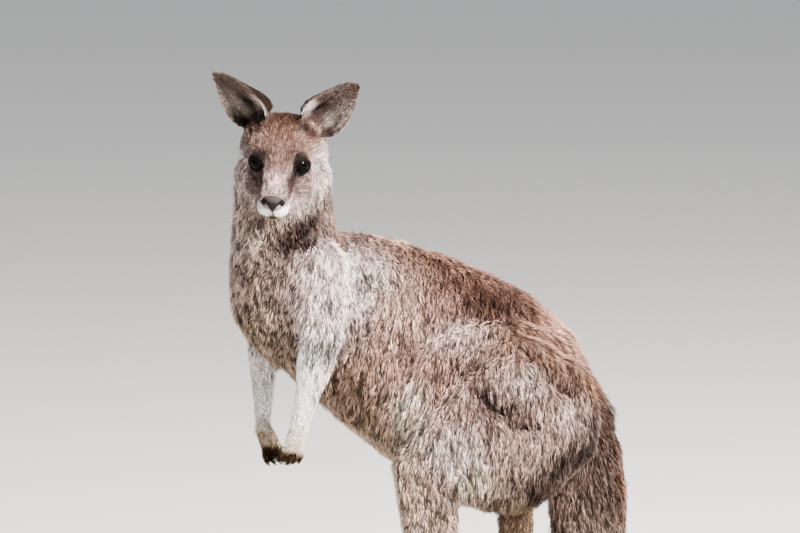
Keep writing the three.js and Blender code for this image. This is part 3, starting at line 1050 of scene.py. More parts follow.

# patches of colour on the body; some are painted shade in folds and hollows, some painted highlight
BODY_MARKS = tuple(
    Mark((0, y, z), (ALL_WIDE, long, high), colour, share)
    for y, z, long, high, colour, share in (
        (-352, 686, 60, 56, 0xF0DCD8, 0.8),  # shoulder
        (-286, 655, 48, 60, 0xCBA799, 0.7),  # flank behind the arm
        (-390, 602, 40, 18, 0x4A3B35, 0.6),  # above the elbow
        (-434, 758, 30, 26, 0x33251F, 0.9),  # painted shade under the chin, on the ruff
        (-478, 784, 10, 12, 0x1E1512, 0.7),  # painted shade in the creases of the throat
        (-414, 784, 16, 24, 0x1E1512, 0.85),
        (-430, 748, 26, 10, 0x1E1512, 0.7),
        (-514, 766, 32, 50, 0xD0BAAF, 0.7),  # front of the neck
        (-276, 752, 60, 30, 0xB9927F, 0.7),  # withers
        (-480, 640, 40, 60, 0x7E6C5B, 0.6),  # front of the chest
        (-458, 700, 24, 24, 0x6A5A50, 0.5),
        (-352, 530, 46, 70, 0x6E5347, 0.75),  # low flank
        (-304, 488, 34, 50, 0x7B6150, 0.65),  # belly
        (-268, 496, 28, 60, 0xDCCAB8, 0.8),  # pale hair before the thigh
        (-152, 658, 56, 16, 0x4A3329, 0.7),  # painted shade in the hollow above the thigh
        (-205, 610, 62, 24, 0xDCC0B6, 0.75),  # painted highlight on the top of the thigh
        (-100, 600, 60, 26, 0x9A7665, 0.7),  # rear of the thigh's top
        # painted shade along the fold here
        (-196, 566, 30, 16, 0x6E5A52, 0.6),
        (-134, 510, 46, 26, 0x4E3D38, 0.62),  # painted shade in the middle of the thigh, along its fold
        (-100, 548, 30, 22, 0xD8C0B8, 0.6),
        (-200, 445, 40, 46, 0xDECBC6, 0.65),  # front of the thigh
        (-215, 365, 46, 40, 0x8A7269, 0.6),
        (-176, 408, 28, 26, 0xD9C8B0, 0.75),  # groin
        (-134, 412, 24, 20, 0x6A5A4C, 0.55),
        (-126, 366, 50, 22, 0x5A4932, 0.85),  # painted shade under the low edge of the thigh
        (-76, 388, 40, 26, 0x3E3028, 0.85),
        (-4, 410, 44, 60, 0x55433C, 0.75),  # root of the tail
        (-34, 495, 34, 24, 0xCFB6AE, 0.5),  # rear of the rump
        (-34, 590, 36, 50, 0xA07B6C, 0.75),  # rear edge of the back
        # painted highlight on the rear of the back
        (-54, 628, 34, 28, 0xC39380, 0.6),
        # painted shade along the fold here
        (-48, 532, 24, 13, 0x5E4A42, 0.6),
        # painted shade along the fold at the rear of the rump
        (10, 500, 20, 60, 0x4E3A30, 0.7),
        (-82, 400, 40, 26, 0x43342F, 0.75),  # painted shade in the fold between thigh and tail
        (-40, 434, 38, 30, 0x54443E, 0.8),
        (8, 470, 24, 34, 0x4E3E38, 0.8),
    )
)


@dataclass(frozen=True)
class EarPlan:
    """How an ear is turned outwards, in degrees, and where its hollow lies, in millimetres."""

    tilt: float
    yaw: float
    aside: float
    high: float


EAR_PLANS = {1.0: EarPlan(37.0, 8.0, -6.0, 28.0), -1.0: EarPlan(38.0, 22.0, 9.0, 32.0)}


@dataclass
class Colours:
    """The animal's colour patterns with their painted shade and highlights, laid on the skin and on every
    tuft alike.
    """

    skin: Skin

    def body(self) -> Array:
        """Each pelt's own colours, passing softly into its neighbours.

        Returns:
            One colour for each point.
        """
        pelts = [pelt_of(node) for node in FLESH]
        table = np.array([[linear(p.top), linear(p.side), linear(p.under)] for p in pelts])
        rows = table[self.skin.owner].reshape(-1, 9)
        rows = self.skin.web.spread(rows, 45).reshape(-1, 3, 3)
        rough = 0.10 * ripple(self.skin.points, 0.11, 3) + 0.08 * ripple(self.skin.points, 0.02, 4)
        colours = mix(rows[:, 1], rows[:, 0], step(self.skin.lift + rough, 0.42, 0.95))
        return mix(colours, rows[:, 2], step(self.skin.normals[:, 2] + rough, -0.15, -0.65))

    def make(self) -> Array:
        """One colour for each point of the skin.

        Returns:
            The colours of the whole animal, as linear red, green and blue.
        """
        points = self.skin.points
        local = in_head(points)
        rough = ripple(points, 0.03, 17)
        names = np.array(FLESH)[self.skin.owner]
        colours = self.body()
        for mark in BODY_MARKS:
            colours = mark.lay(colours, points / MM, rough)
        painted = tint(linear(Dye.FACE), Dye.LOW_FACE, step(local[:, 2], 0.0, -40.0))
        for mark in FACE_MARKS:
            painted = mark.lay(painted, local, rough * 0.6)
        for eye in eyes():
            edge, _ = eye.opening(points)
            # dark lids, with painted shade round the eyes' sockets
            painted = tint(painted, Dye.LIDS_AND_SOCKET_SHADE, step(edge, 12.0, 4.0))
        # painted shade in the mouth's line and the groove below the nose
        painted = tint(painted, Dye.MOUTH_GROOVE_SHADE, self.skin.groove)
        colours = mix(colours, painted, head_zone(points) * ~np.char.startswith(names, "ear"))
        for name, side in SIDES.items():
            arm = np.isin(names, [f"forearm_{name}", f"upper_arm_{name}", f"hand_{name}"])
            # painted shade on the arms' inner sides, that face the body
            inner = arm * step(self.skin.normals[:, 0] * side, 0.3, -0.3) * step(points[:, 2], 0.40, 0.60)
            colours = tint(colours, Dye.INNER_ARM_SHADE, 0.15 * inner)
            colours = self.ear(colours, names == f"ear_{name}", side)
            colours = self.digits(colours, names == f"hand_{name}", name)
        patches = 1.0 + 0.09 * ripple(points, 0.045, 11) + 0.07 * ripple(points, 0.12, 12)
        patches = patches + 0.10 * ripple(points, 0.02, 13) * (self.skin.fields[:, DEPTH] > 7.0)
        # painted shade in the folds and clefts
        patches = patches * (1.0 - 0.9 * self.skin.shade)
        colours = colours * (0.60 + 0.40 * step(colours.mean(axis=1), 0.35, 0.85))[:, None]
        return np.clip(colours * patches[:, None], 0.0, 1.0)

    def digits(self, colours: Array, here: Array, name: str) -> Array:
        """The hand's digits, which are dark brown from the knuckles on, flecked with gold.

        Args:
            colours: one colour for each point.
            here: which points are on this hand.
            name: the hand's side.

        Returns:
            The new colours.
        """
        way = lie_of(f"hand_{name}")
        side = SIDES[name]
        points = self.skin.points
        along = (points - centre(f"hand_{name}")) @ way / MM + 3.0 * ripple(points, 0.014, 51)
        inner = step(self.skin.normals[:, 0] * side, 0.35, -0.3)
        flecks = step(ripple(points, 0.009, 52), -0.2, 0.5)
        gold = here * inner * step(along, -34.0, -10.0) * (0.35 + 0.5 * flecks)
        colours = tint(colours, Dye.GOLD, gold)
        dark = tint(linear(Dye.DIGITS), Dye.DIGIT_FLECKS, 0.55 * step(ripple(points, 0.008, 53), 0.1, 0.9))
        return mix(colours, dark, here * step(along + 8.0 * inner, 10.0, 19.0))

    def ear(self, colours: Array, here: Array, side: float) -> Array:
        """An ear's hollow, darkened deep inside by painted shade, its pale inner edge and its brown back.

        Args:
            colours: one colour for each point.
            here: which points are on this ear.
            side: the ear's side, 1 for left and -1 for right.

        Returns:
            The new colours.
        """
        plan = EAR_PLANS[side]
        aside, high = plan.aside, plan.high
        turn = np.array(
            Matrix.Rotation(math.radians(-6.0), 3, "X")
            @ Matrix.Rotation(math.radians(side * plan.tilt), 3, "Y")
            @ Matrix.Rotation(math.radians(side * plan.yaw), 3, "Z")
        )
        local = (in_head(self.skin.points) - ear_root(side)) @ turn
        facing = self.skin.normals @ HEAD_TURN @ turn
        out, up = local[:, 0] * side, local[:, 2]
        inside = here * step(-facing[:, 1], -0.05, 0.35)
        rough = 1.5 * ripple(self.skin.points, 0.012, 41)

        def lay(colour: int, share: Array) -> None:
            """Lays one more colour over the ear."""
            nonlocal colours
            colours = tint(colours, colour, share)

        lay(Dye.EAR, inside * 0.95)
        lay(Dye.EAR_RIM, inside * step(out + rough, 6.0, 18.0) * step(up, 92.0, 40.0) * 0.6)
        inner = step(out + rough, aside + 1.0, aside - 4.5)
        lay(Dye.EAR_INNER_EDGE, inside * inner * step(up + rough, high + 18.0, high) * 0.9)
        # painted shade deep in the ear's hollow
        lay(Dye.BLACK, inside * bell(np.hypot(out - aside, (up - high) / 2.4), 8.0))
        lay(Dye.EAR_ROOT, here * step(up + rough, 23.0, 6.0) * 0.9)
        lay(Dye.EAR_BACK, here * step(facing[:, 1], -0.25, 0.15) * step(up + rough, 92.0, 46.0) * 0.8)
        aside_facing = step(facing[:, 0] * -side, 0.2, 0.7)
        lay(Dye.EAR_SIDE, here * aside_facing * step(-facing[:, 1], 0.6, 0.2) * 0.95)
        return colours


# ---------------------------------------------------------------- finishes
def principled(name: str, **values: object) -> tuple[Material, bpy.types.Node]:
    """A new material and its surface node, with the given sockets set.

    Args:
        name: the name of the material.
        values: values for sockets, with an underscore for each space in their names.

    Returns:
        The material and its surface node.
    """
    material = bpy.data.materials.new(name)
    material.use_nodes = True
    surface = material.node_tree.nodes["Principled BSDF"]
    for socket, value in values.items():
        surface.inputs[socket.replace("_", " ")].default_value = value
    return material, surface


def show_surface_colours(material: Material, surface: bpy.types.Node) -> None:
    """Colours the surface by the piece's own colour layer, painted shade included where it has any.

    Args:
        material: the material.
        surface: its surface node.
    """
    colour = material.node_tree.nodes.new("ShaderNodeVertexColor")
    colour.layer_name = "surface_colours"
    material.node_tree.links.new(colour.outputs["Color"], surface.inputs["Base Color"])


class Grain(Enum):
    """A fine unevenness: the node that makes it, the output to read, and its depth in metres."""

    PORES = ("ShaderNodeTexNoise", "Fac", 0.001)
    HORN = ("ShaderNodeTexVoronoi", "Distance", 0.0006)

    def add(self, material: Material, surface: bpy.types.Node, scale: float, strength: float) -> None:
        """Gives the surface this grain, which sits on the piece.

        Args:
            material: the material.
            surface: its surface node.
            scale: how fine the grain is.
            strength: how strongly it shows; there is none at zero.
        """
        if not strength:
            return
        kind, output, depth = self.value
        nodes, links = material.node_tree.nodes, material.node_tree.links
        place, grain, bump = nodes.new("ShaderNodeTexCoord"), nodes.new(kind), nodes.new("ShaderNodeBump")
        grain.inputs["Scale"].default_value = scale
        bump.inputs["Strength"].default_value = strength
        bump.inputs["Distance"].default_value = depth
        links.new(place.outputs["Object"], grain.inputs["Vector"])
        links.new(grain.outputs[output], bump.inputs["Height"])
        links.new(bump.outputs["Normal"], surface.inputs["Normal"])


@dataclass(frozen=True)
class Furred:
    """The finish of the coat and of bare or hidden skin: matt, coloured by the piece's own colour layer with
    its painted shade.
    """

    name: str
    grain: float = 900.0
    bump: float = 0.0
    roughness: float = 0.75
    shine: float = 0.05

    def make(self) -> Material:
        """The material.

        Returns:
            The new material.
        """
        material, surface = principled(self.name, Roughness=self.roughness, Specular_IOR_Level=self.shine)
        show_surface_colours(material, surface)
        Grain.PORES.add(material, surface, self.grain, self.bump)
        return material


@dataclass(frozen=True)
class Plain:
    """A finish of one colour, with fine grain where it has a bump."""

    name: str
    colour: int
    roughness: float
    bump: float = 0.0
    grain: float = 700.0
    coat: float = 0.0

    def make(self) -> Material:
        """The material.

        Returns:
            The new material.
        """
        colour = (*linear(self.colour), 1.0)
        material, surface = principled(
            self.name, Roughness=self.roughness, Base_Color=colour, Coat_Weight=self.coat
        )
        Grain.HORN.add(material, surface, self.grain, self.bump)
        return material


# ---------------------------------------------------------------- eyes, nose and claws
def ball(name: str, middle: Array, radius: float, fine: int = 5) -> Piece:
    """A smooth ball of small even faces.

    Args:
        name: the name of the object.
        middle: its middle, in metres.
        radius: in metres.
        fine: how often its faces are divided.

    Returns:
        The object.
    """
    form = bmesh.new()
    bmesh.ops.create_icosphere(form, subdivisions=fine, radius=radius)
    bmesh.ops.translate(form, verts=form.verts, vec=Vector(middle))
    return add_object(name, new_mesh(name, form))


@dataclass(frozen=True)
class Eyeball:
    """A wet eye: a wide dark pupil in a brown iris, with a slight dome over them."""

    eye: Eye
    iris: float = 10.6
    pupil_wide: float = 6.4
    pupil_high: float = 5.0

    def build(self, name: str) -> Piece:
        """The eyeball, painted by its own places.

        Args:
            name: the eye's side.

        Returns:
            The finished eyeball.
        """
        radius = self.eye.radius * MM
        piece = ball(f"eyeball_{name}", self.eye.middle, radius, 6)
        points = read_points(piece.data)
        _, local = self.eye.opening(points)
        off = np.hypot(local[:, 0], local[:, 1])
        ahead = local[:, 2] > 0.0
        dome = 0.5 * step(off, self.iris, 2.0) * ahead
        points += unit(points - self.eye.middle) * (dome - 0.1)[:, None] * MM
        write_points(piece.data, points)
        turn = np.arctan2(local[:, 1], local[:, 0])
        streak = 0.5 + 0.5 * np.sin(turn * 37.0 + 2.0 * np.sin(turn * 11.0))
        iris = linear(Dye.IRIS) * (0.75 + 0.5 * streak)[:, None]
        round_pupil = np.hypot(local[:, 0] / self.pupil_wide, local[:, 1] / self.pupil_high)
        colours = tint(iris, Dye.EYEBALL, step(off, self.iris - 1.2, self.iris + 0.4))
        colours = tint(colours, Dye.PUPIL, step(round_pupil, 1.12, 0.95))
        colours[~ahead] = linear(Dye.EYEBALL)
        paint(piece.data, "surface_colours", colours)
        material, surface = principled(f"wet_eye_{name}", Roughness=0.04, Specular_IOR_Level=0.03)
        show_surface_colours(material, surface)
        piece.data.materials.append(material)
        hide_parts(f"eye_{name}")
        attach(piece, "root")
        return piece


@dataclass(frozen=True)
class Nose:
    """The bare dark pad, a V between the lips with two comma-shaped nostrils; millimetres."""

    size: Triple = (18.2, 11.5, 12.8)
    nostril: Pair = (10.2, 1.8)  # aside and up from the pad's middle
    nostril_depth: float = 5.0
    groove_depth: float = 0.8

    def build(self) -> Piece:
        """The nose pad.

        Returns:
            The finished pad.
        """
        piece = ball("nose_pad", np.zeros(3), 1.0, 6)
        ways = read_points(piece.data)
        x, y, z = ways.T
        wedge = nose_taper(z)
        local = np.stack([x * self.size[0] * wedge, y * self.size[1], z * self.size[2]], axis=1)
        front = step(-y, -0.1, 0.5)
        groove = bell(local[:, 0], 0.9) * step(local[:, 2], 4.0, -2.0) * front
        depth = self.groove_depth * groove
        for side in SIDES.values():
            u = local[:, 0] * side - self.nostril[0]
            v = local[:, 2] - self.nostril[1]
            slit = bell(np.hypot(u - 0.6 * v, 0.42 * v), 4.4)
            depth = depth + front * self.nostril_depth * slit
        local = local + np.array([0.0, 1.0, 0.0]) * depth[:, None]
        write_points(piece.data, from_head(local + np.array(NOSE_PLACE)))
        # painted shade in the nostrils and the groove, by their depth
        dark = step(depth, 0.5, 2.5)
        height = local[:, 2]
        colours = tint(linear(Dye.PAD), Dye.PAD_TOP, step(height, 6.5, 12.0))
        brim = np.abs(local[:, 0]) / (self.size[0] * wedge) + 0.5 * step(height, -1.0, -10.0)
        dark = np.maximum(dark, 0.95 * step(brim, 0.10, 0.36) * step(height, 6.5, 2.0))
        colours = tint(colours, Dye.BLACK, dark)
        paint(piece.data, "surface_colours", colours)
        finish = Furred("nose_skin", grain=1500.0, bump=0.35, roughness=0.5, shine=0.08)
        piece.data.materials.append(finish.make())
        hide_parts("nose")
        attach(piece, "root")
        return piece


@dataclass(frozen=True)
class Claws:
    """Every claw of the hands and feet, in one dark horn piece; those of the hands are drawn in a little."""

    drawn_in: float = 0.35

    def form(self, node: str) -> Form:
        """One claw's shape, drawn in towards its root where it is a hand's.

        Args:
            node: the CAD node of the claw.

        Returns:
            The shape, which the caller frees.
        """
        form = merged_copy(node)
        if node.startswith("hand"):
            way = Vector(lie_of(f"hand_{node.rpartition('_')[2]}"))
            top = min((v.co.copy() for v in form.verts), key=lambda c: c @ way)
            for vert in form.verts:
                vert.co -= way * ((vert.co - top) @ way) * self.drawn_in
        return form

    def build(self) -> Piece:
        """The claws, smoothed from their plain solids.

        Returns:
            The finished claws.
        """
        nodes = [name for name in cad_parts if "claw" in name]
        piece = add_object("claws", new_mesh("claws", joined(self.form(node) for node in nodes)))
        smooth = piece.modifiers.new("smooth", "SUBSURF")
        smooth.levels = smooth.render_levels = 1
        horn = Plain("horn", Dye.HORN, roughness=0.34, bump=0.25, grain=380.0, coat=0.2)
        piece.data.materials.append(horn.make())
        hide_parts(*nodes)
        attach(piece, "root")
        return piece


# ---------------------------------------------------------------- the coat
# a tuft's points are its root, its waist's two sides and crest, and its tip
TUFT_FACES = np.array([[0, 1, 3], [0, 3, 2], [0, 2, 1], [4, 3, 1], [4, 2, 3], [4, 1, 2]])
TUFT_PATCH = np.array([[0.0, -1.0], [-0.5, 0.0], [0.5, 0.0], [0.0, 0.1], [0.0, 1.0]])


@dataclass
class Coat:
    """Small closed tufts over the whole skin, gathered into locks that follow its lie."""

    skin: Skin
    colours: Array
    seed: int = 5
    budget: int = 244_000
    per_piece: int = 33_000
    eye_clear: float = 2.2  # bare rim round the eyes' openings
    nose_clear: Triple = (17.2, 7.0, 12.5)  # bare half sizes below the nose pad
    guard: Triple = (0.07, 1.35, 0.7)  # share of guard hairs, their rise and width
    long_spread: Pair = (0.75, 1.15)  # least and most length, as shares of the pelt's
    rise_spread: Pair = (0.55, 1.0)
    wide_spread: Pair = (0.7, 1.15)
    sway_spread: float = 0.6
    bend: Pair = (0.42, 0.22)  # where a tuft's waist is, and how far it stands off
    look_ahead: Pair = (-1.2, 1.7)  # where along the lie a tuft looks for its lock, in locks
    pull_spread: Pair = (0.75, 1.1)
    lock_rise: float = 0.22  # how far locks differ in height
    seam_drop: float = 0.5  # how far tufts lie down between locks
    steep: float = 0.75  # the most that a tuft rises, for its length
    lock_tone: float = 0.24  # how far locks, streaks and tufts differ, as powers of e
    streak_tone: Pair = (0.14, 0.22)  # on short hair, and what shaggy hair adds
    tuft_tone: Pair = (0.36, 0.20)  # on short hair, and what shaggy hair takes off
    seam_shade: float = 1.3  # painted shade in the gaps between locks
    crease_shade: Pair = (1.0, 1.4)  # and painted shade in the dark creases, and what a pale coat adds
    fleck_tone: float = 1.3  # and dark flecks
    make_up: Pair = (0.22, 0.06)  # tone given back for the gaps, and for the flecks
    white_calm: float = 0.75  # how far white hair is spared all this
    warmth: float = 0.04  # how far locks differ in warmth
    root_shade: Triple = (0.34, 0.28, 0.26)
    tip_limit: Triple = (0.80, 0.68, 0.64)
    patch: float = 0.0015  # half the height of a tuft's patch in the map

    def sow(self) -> None:
        """Chooses the root of every tuft on the skin's triangles."""
        mesh = self.skin.mesh
        faces = read_triangles(mesh)
        loops = np.empty(len(mesh.loop_triangles) * 3, np.int32)
        mesh.loop_triangles.foreach_get("loops", loops)
        uvs = np.empty(len(mesh.loops) * 2, np.float32)
        mesh.uv_layers["OFBake"].data.foreach_get("uv", uvs)
        corner_uvs = uvs.reshape(-1, 2)[loops.reshape(-1, 3)]
        a, b, c = (self.skin.points[faces[:, k]] for k in range(3))
        area = np.linalg.norm(np.cross(b - a, c - a), axis=1) / 2.0
        rate = self.skin.fields[faces, COUNT].mean(axis=1) * self.grows(faces)
        weight = area * PER_SQUARE_CM * rate
        total = min(int(weight.sum()), self.budget)
        log.info("tufts wanted %d, made %d", int(weight.sum()), total)
        self.rng = np.random.default_rng(self.seed)
        spots = (np.arange(total) + self.rng.random(total)) / total * weight.sum()
        chosen = np.minimum(np.searchsorted(np.cumsum(weight), spots), len(faces) - 1)
        u, v = self.rng.random(total), self.rng.random(total)
        flip = u + v > 1.0
        u[flip], v[flip] = 1.0 - u[flip], 1.0 - v[flip]
        shares = np.stack([1.0 - u - v, u, v], axis=1)[:, :, None]
        corners = faces[chosen]

        def at(values: Array) -> Array:
            """Values of the skin's points, at the roots."""
            return (values[corners] * shares).sum(axis=1)

        self.root = at(self.skin.points)
        self.normal = unit(at(self.skin.normals))
        self.lie = unit(flattened(at(self.skin.lie), self.normal))
        self.fields = at(self.skin.fields)
        self.colour = at(self.colours)
        self.uv = (corner_uvs[chosen] * shares).sum(axis=1)
        self.count = total

    def grows(self, faces: Array) -> Array:
        """The share of tufts that grow on each triangle: none in the eyes' openings or under the nose.

        Args:
            faces: the skin's triangles.

        Returns:
            One share for each triangle.
        """
        middle = self.skin.points[faces].mean(axis=1)
        grows = np.ones(len(faces))
        for eye in eyes():
            edge, _ = eye.opening(middle)
            grows *= edge > self.eye_clear
        local = in_head(middle) - NOSE_PLACE
        wide, back, high = self.nose_clear
        wide = wide * nose_taper(local[:, 2] / high)
        inside = (np.abs(local[:, 0]) < wide) & (local[:, 1] < back) & (np.abs(local[:, 2]) < high)
        grows *= self.skin.groove[faces].max(axis=1) < 0.5
        return grows * ~inside

    def shape(self) -> None:
        """Finds the waist and the tip of every tuft, the tips drawn together in locks."""
        rng, total = self.rng, self.count
        depth, length, width, _, lock, gather, _, curl, _ = self.fields.T
        across = np.cross(self.lie, self.normal)
        long = length * rng.uniform(*self.long_spread, total)
        sway = curl * (ripple(self.root, 0.022, 21) + rng.normal(0.0, self.sway_spread, total))
        way = unit(self.lie + across * sway[:, None])
        self.streak = self.drawn(rng.normal(0.0, 1.0, total))
        share, higher, finer = self.guard
        guard = rng.random(total) < share
        rise = depth * rng.uniform(*self.rise_spread, total) * (1.0 + 0.10 * self.streak)
        rise = np.minimum(rise * np.where(guard, higher, 1.0), self.steep * long)
        near = self.gather()
        rise = rise * (1.0 + self.lock_rise * self.own) * (1.0 - self.seam_drop * self.seam)
        rise = np.minimum(rise, self.steep * long)
        reach = np.sqrt(np.maximum(long**2 - rise**2, 1.0))
        tip = self.root + (way * reach[:, None] + self.normal * rise[:, None]) * MM
        pull = gather * step(near, 4.0 * lock, 1.0 * lock) * rng.uniform(*self.pull_spread, total)
        self.near = near / np.maximum(2.0 * lock, 1.0)
        tip = mix(tip, tip[self.lock], pull)
        self.rise = rise
        up_to, off = self.bend
        waist = mix(self.root, tip, np.full(total, up_to)) + self.normal * (off * rise * MM)[:, None]
        self.tip, self.waist, self.across = tip, waist, across
        self.width = width * rng.uniform(*self.wide_spread, total) * np.where(guard, finer, 1.0)

    def gather(self) -> Array:
        """Gives each tuft to a lock, and finds the gaps between the locks.

        Returns:
            How far each tuft stands from its lock's own, in millimetres.
        """
        rng, total = self.rng, self.count
        rate, lock = self.fields[:, COUNT], self.fields[:, LOCK]
        lead = rng.random(total) < 1.0 / np.maximum(rate * (lock / 10.0) ** 2, 1.5)
        leaders = np.flatnonzero(lead)
        tree = tree_of(self.root[leaders])
        ahead = self.root + self.lie * (rng.uniform(*self.look_ahead, total) * lock * MM)[:, None]
        pairs = [tree.find_n(p, 2) for p in ahead]
        self.lock = np.array([leaders[one[1]] for one, _ in pairs])
        other = np.array([leaders[two[1]] for _, two in pairs])
        apart = np.array([two[2] - one[2] for one, two in pairs]) / MM
        mood = rng.normal(0.0, 1.0, total)
        self.seam = step(apart, 0.34 * lock, 0.06 * lock) * step(mood[self.lock] + mood[other], 0.6, -0.4)
        self.own = rng.normal(0.0, 1.0, total)[self.lock]
        return np.linalg.norm(self.root - self.root[self.lock], axis=1) / MM

    def colours_below(self, places: Array) -> Array:
        """The skin's colours under the given places.

        Args:
            places: places near the skin, in metres.

        Returns:
            One colour for each place.
        """
        tree = tree_of(self.skin.points)
        near = [[(n, d) for _, n, d in tree.find_n(place, 3)] for place in places]
        numbers = np.array([[n for n, _ in row] for row in near])
        weight = 1.0 / (np.array([[d for _, d in row] for row in near]) + 0.5 * MM)
        weight = weight / weight.sum(axis=1, keepdims=True)
        return (self.colours[numbers] * weight[:, :, None]).sum(axis=1)

    def drawn(self, grain: Array, steps: int = 4) -> Array:
        """Noise drawn out along the lie of the coat, with a spread of one.

        Args:
            grain: one random number for each tuft.
            steps: how far the noise is drawn out.

        Returns:
            One value for each tuft.
        """
        back = self.root - self.lie * (0.22 * self.fields[:, LENGTH, None] * MM)
        before = nearest(self.root, back)
        total = grain.copy()
        for _ in range(steps):
            total = grain + total[before]
        total = total + total[before]
        return np.clip(total / total.std(), -2.5, 2.5)

    def tones(self) -> tuple[Array, Array, Array]:
        """The colours of root, waist and tip: dark below, pale at the tip with painted highlight, painted
        shade in the gaps, creases and edges of the locks, each lock a little apart.

        Returns:
            Three tables, each with one colour for each tuft.
        """
        rng, total = self.rng, self.count
        light = np.clip(self.colour.mean(axis=1), 0.0, 1.0)
        shag = step(self.fields[:, DEPTH], 2.5, 6.5)
        crease = step(self.streak, -0.35, -1.4)
        streaks = (self.streak_tone[0] + self.streak_tone[1] * shag) * self.streak
        tufts = rng.normal(0.0, 1.0, total) * (self.tuft_tone[0] - self.tuft_tone[1] * shag)
        tone = self.lock_tone * self.own + streaks + tufts
        # painted shade in the creases and in the gaps between locks
        creases = (self.crease_shade[0] + self.crease_shade[1] * step(light, 0.2, 0.5)) * crease
        tone = tone - shag * (self.seam_shade * self.seam + creases) + self.make_up[0]
        fleck = step(self.own, -0.6, -1.3) * shag * step(light, 0.15, 0.3)
        calm = 1.0 - self.white_calm * step(light, 0.62, 0.85)
        tone = (tone - self.fleck_tone * fleck + self.make_up[1]) * calm
        ahead = self.colours_below(self.tip - self.normal * (self.rise * MM)[:, None])
        warm = 1.0 + self.warmth * rng.normal(0.0, 1.0, total)[self.lock]
        shift = np.exp(tone)[:, None] * np.stack([warm, np.ones(total), 2.0 - warm], axis=1)
        base, end = self.colour * shift, ahead * shift
        white = step(light, 0.45, 0.8)[:, None]
        # painted shade at the edges of the locks, on waist and tip
        edge = step(self.near, 0.35, 0.95) * shag * (1.0 - 0.7 * white[:, 0])
        root = base * (np.array(self.root_shade) * (1.0 - white) + 0.8 * white)
        waist = (0.55 * base + 0.45 * end) * (0.98 - 0.30 * edge)[:, None]
        # pale tips: the hair's own paler ends and painted highlight, less in the painted shade of the gaps
        pale = self.fields[:, PALE] * (0.75 + 0.5 * self.streak) * (1.0 - 0.8 * self.seam)
        pale = pale * (0.2 + 0.8 * step(ahead.mean(axis=1), 0.06, 0.25))
        glow = np.maximum(np.minimum(ahead * 2.7 + 0.055, np.array(self.tip_limit)), ahead)
        tip = mix(end, glow, np.clip(pale, 0.0, 0.9))
        tip = tip * (1.05 - 0.20 * edge)[:, None]
        return root, waist, tip

    def build(self) -> list[Piece]:
        """The coat, in pieces of a size that the export keeps whole.

        Returns:
            The finished pieces.
        """
        self.sow()
        self.shape()
        root, waist, tip = self.tones()
        material = Furred("coat_hair").make()
        order = np.argsort(self.root[:, 2] + self.root[:, 1] * 0.3)
        pieces = []
        for number, start in enumerate(range(0, self.count, self.per_piece), 1):
            part = order[start : start + self.per_piece]
            pieces.append(self.piece(f"coat_{number}", part, (root, waist, tip), material))
        return pieces

    def piece(
        self, name: str, part: Array, tones: tuple[Array, Array, Array], material: Material
    ) -> Piece:
        """One piece of coat.

        Args:
            name: the piece's name.
            part: the numbers of its tufts.
            tones: colours of root, waist and tip for every tuft.
            material: the finish.

        Returns:
            The finished object.
        """
        half = (self.width[part] * 0.5 * MM)[:, None]
        side, up = self.across[part] * half, self.normal[part] * half
        rows = np.stack(
            [
                self.root[part] - self.normal[part] * MM,
                self.waist[part] + side,
                self.waist[part] - side,
                self.waist[part] + up,
                self.tip[part],
            ],
            axis=1,
        )
        faces = (np.arange(len(part))[:, None, None] * 5 + TUFT_FACES).reshape(-1, 3)
        mesh = bpy.data.meshes.new(name)
        mesh.vertices.add(len(part) * 5)
        mesh.loops.add(faces.size)
        mesh.polygons.add(len(faces))
        mesh.vertices.foreach_set("co", rows.astype(np.float32).ravel())
        mesh.loops.foreach_set("vertex_index", faces.astype(np.int32).ravel())
        mesh.polygons.foreach_set("loop_start", np.arange(0, faces.size, 3, dtype=np.int32))
        mesh.polygons.foreach_set("loop_total", np.full(len(faces), 3, np.int32))
        mesh.update(calc_edges=True)
        root, waist, tip = (tone[part] for tone in tones)
        paint(mesh, "surface_colours", np.stack([root, waist, waist, waist, tip], axis=1).reshape(-1, 3))
        uvs = (self.uv[part][:, None, :] + TUFT_PATCH * self.patch).reshape(-1, 2)[faces.ravel()]
        mesh.uv_layers.new(name="OFBake").data.foreach_set("uv", uvs.astype(np.float32).ravel())
        mesh.materials.append(material)
        piece = add_object(name, mesh)
        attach(piece, "root")
        return piece


# ---------------------------------------------------------------- the studio
def put(name: str, data: bpy.types.ID) -> Piece:
    """A new lamp or camera object in the scene.

    Args:
        name: the name of the object.
        data: the lamp or camera.

    Returns:
        The object.
    """
    thing = bpy.data.objects.new(name, data)
    bpy.context.scene.collection.objects.link(thing)
    return thing


@dataclass(frozen=True)
class Lamp:
    """A large soft lamp that faces the animal's chest."""

    name: str
    place: Triple
    size: float
    power: float
    colour: int
    aim: Triple = (0.0, -0.1, 0.6)

    def hang(self) -> None:
        """Puts the lamp up."""
        data = bpy.data.lights.new(self.name, "AREA")
        data.energy, data.size, data.color = self.power, self.size, linear(self.colour)
        lamp = put(self.name, data)
        lamp.location = self.place
        ray = Vector(self.aim) - Vector(self.place)
        lamp.rotation_euler = ray.to_track_quat("-Z", "Y").to_euler()


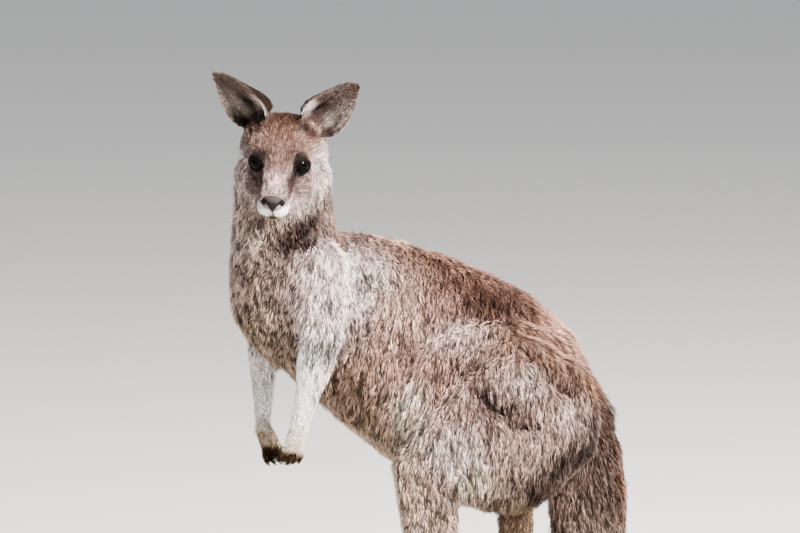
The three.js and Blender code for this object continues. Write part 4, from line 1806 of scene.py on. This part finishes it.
@dataclass(frozen=True)
class Studio:
    """A pale floor, soft light and the camera."""

    target: Triple = (0.0095, -0.2882, 0.7111)
    away: Triple = (0.98877, 0.08651, 0.12187)
    distance: float = 8.0
    lens: float = 248.28
    sensor: float = 36.0
    sight: float = 200.0  # how far the camera sees
    floor_reach: float = 60.0
    sky: tuple[float, float, float, float] = (0.85, 0.9, 1.0, 1.0)
    sky_power: float = 0.70
    lamps: tuple[Lamp, ...] = (
        Lamp("key", (3.0, 2.8, 3.4), 1.2, 2200.0, 0xFFF8F2),
        Lamp("top", (-0.8, 0.6, 3.8), 2.2, 300.0, 0xFFFFFF),
    )

    def camera(self) -> None:
        """A long lens, a little above the animal's back."""
        data = bpy.data.cameras.new("camera")
        data.lens, data.sensor_width = self.lens, self.sensor
        data.clip_end = self.sight
        camera = put("camera", data)
        back = Vector(self.away).normalized()
        camera.location = Vector(self.target) + back * self.distance
        camera.rotation_euler = (-back).to_track_quat("-Z", "Y").to_euler()
        bpy.context.scene.camera = camera

    def build(self) -> None:
        """Floor, world, lamps and camera."""
        form = bmesh.new()
        bmesh.ops.create_grid(form, x_segments=1, y_segments=1, size=self.floor_reach)
        floor = add_object("floor", new_mesh("floor", form))
        floor.data.materials.append(Plain("floor_paint", Dye.FLOOR, roughness=0.8).make())
        world = bpy.data.worlds.new("studio")
        world.use_nodes = True
        background = world.node_tree.nodes["Background"]
        background.inputs["Color"].default_value = self.sky
        background.inputs["Strength"].default_value = self.sky_power
        bpy.context.scene.world = world
        for lamp in self.lamps:
            lamp.hang()
        self.camera()


def main() -> None:
    """Builds the animal and its studio, and reports each piece."""
    skin = Skin()
    body = skin.build()
    colours = skin.thin(body, Colours(skin).make())
    pieces = [skin.dress(body, colours)]
    pieces += [Eyeball(eye).build(name) for name, eye in zip(SIDES, eyes())]
    pieces += [Nose().build(), Claws().build()]
    pieces += Coat(skin, colours).build()
    Studio().build()
    for piece in pieces:
        log.info("%s: %d faces", piece.name, len(piece.data.polygons))


if __name__ == "__main__":
    main()
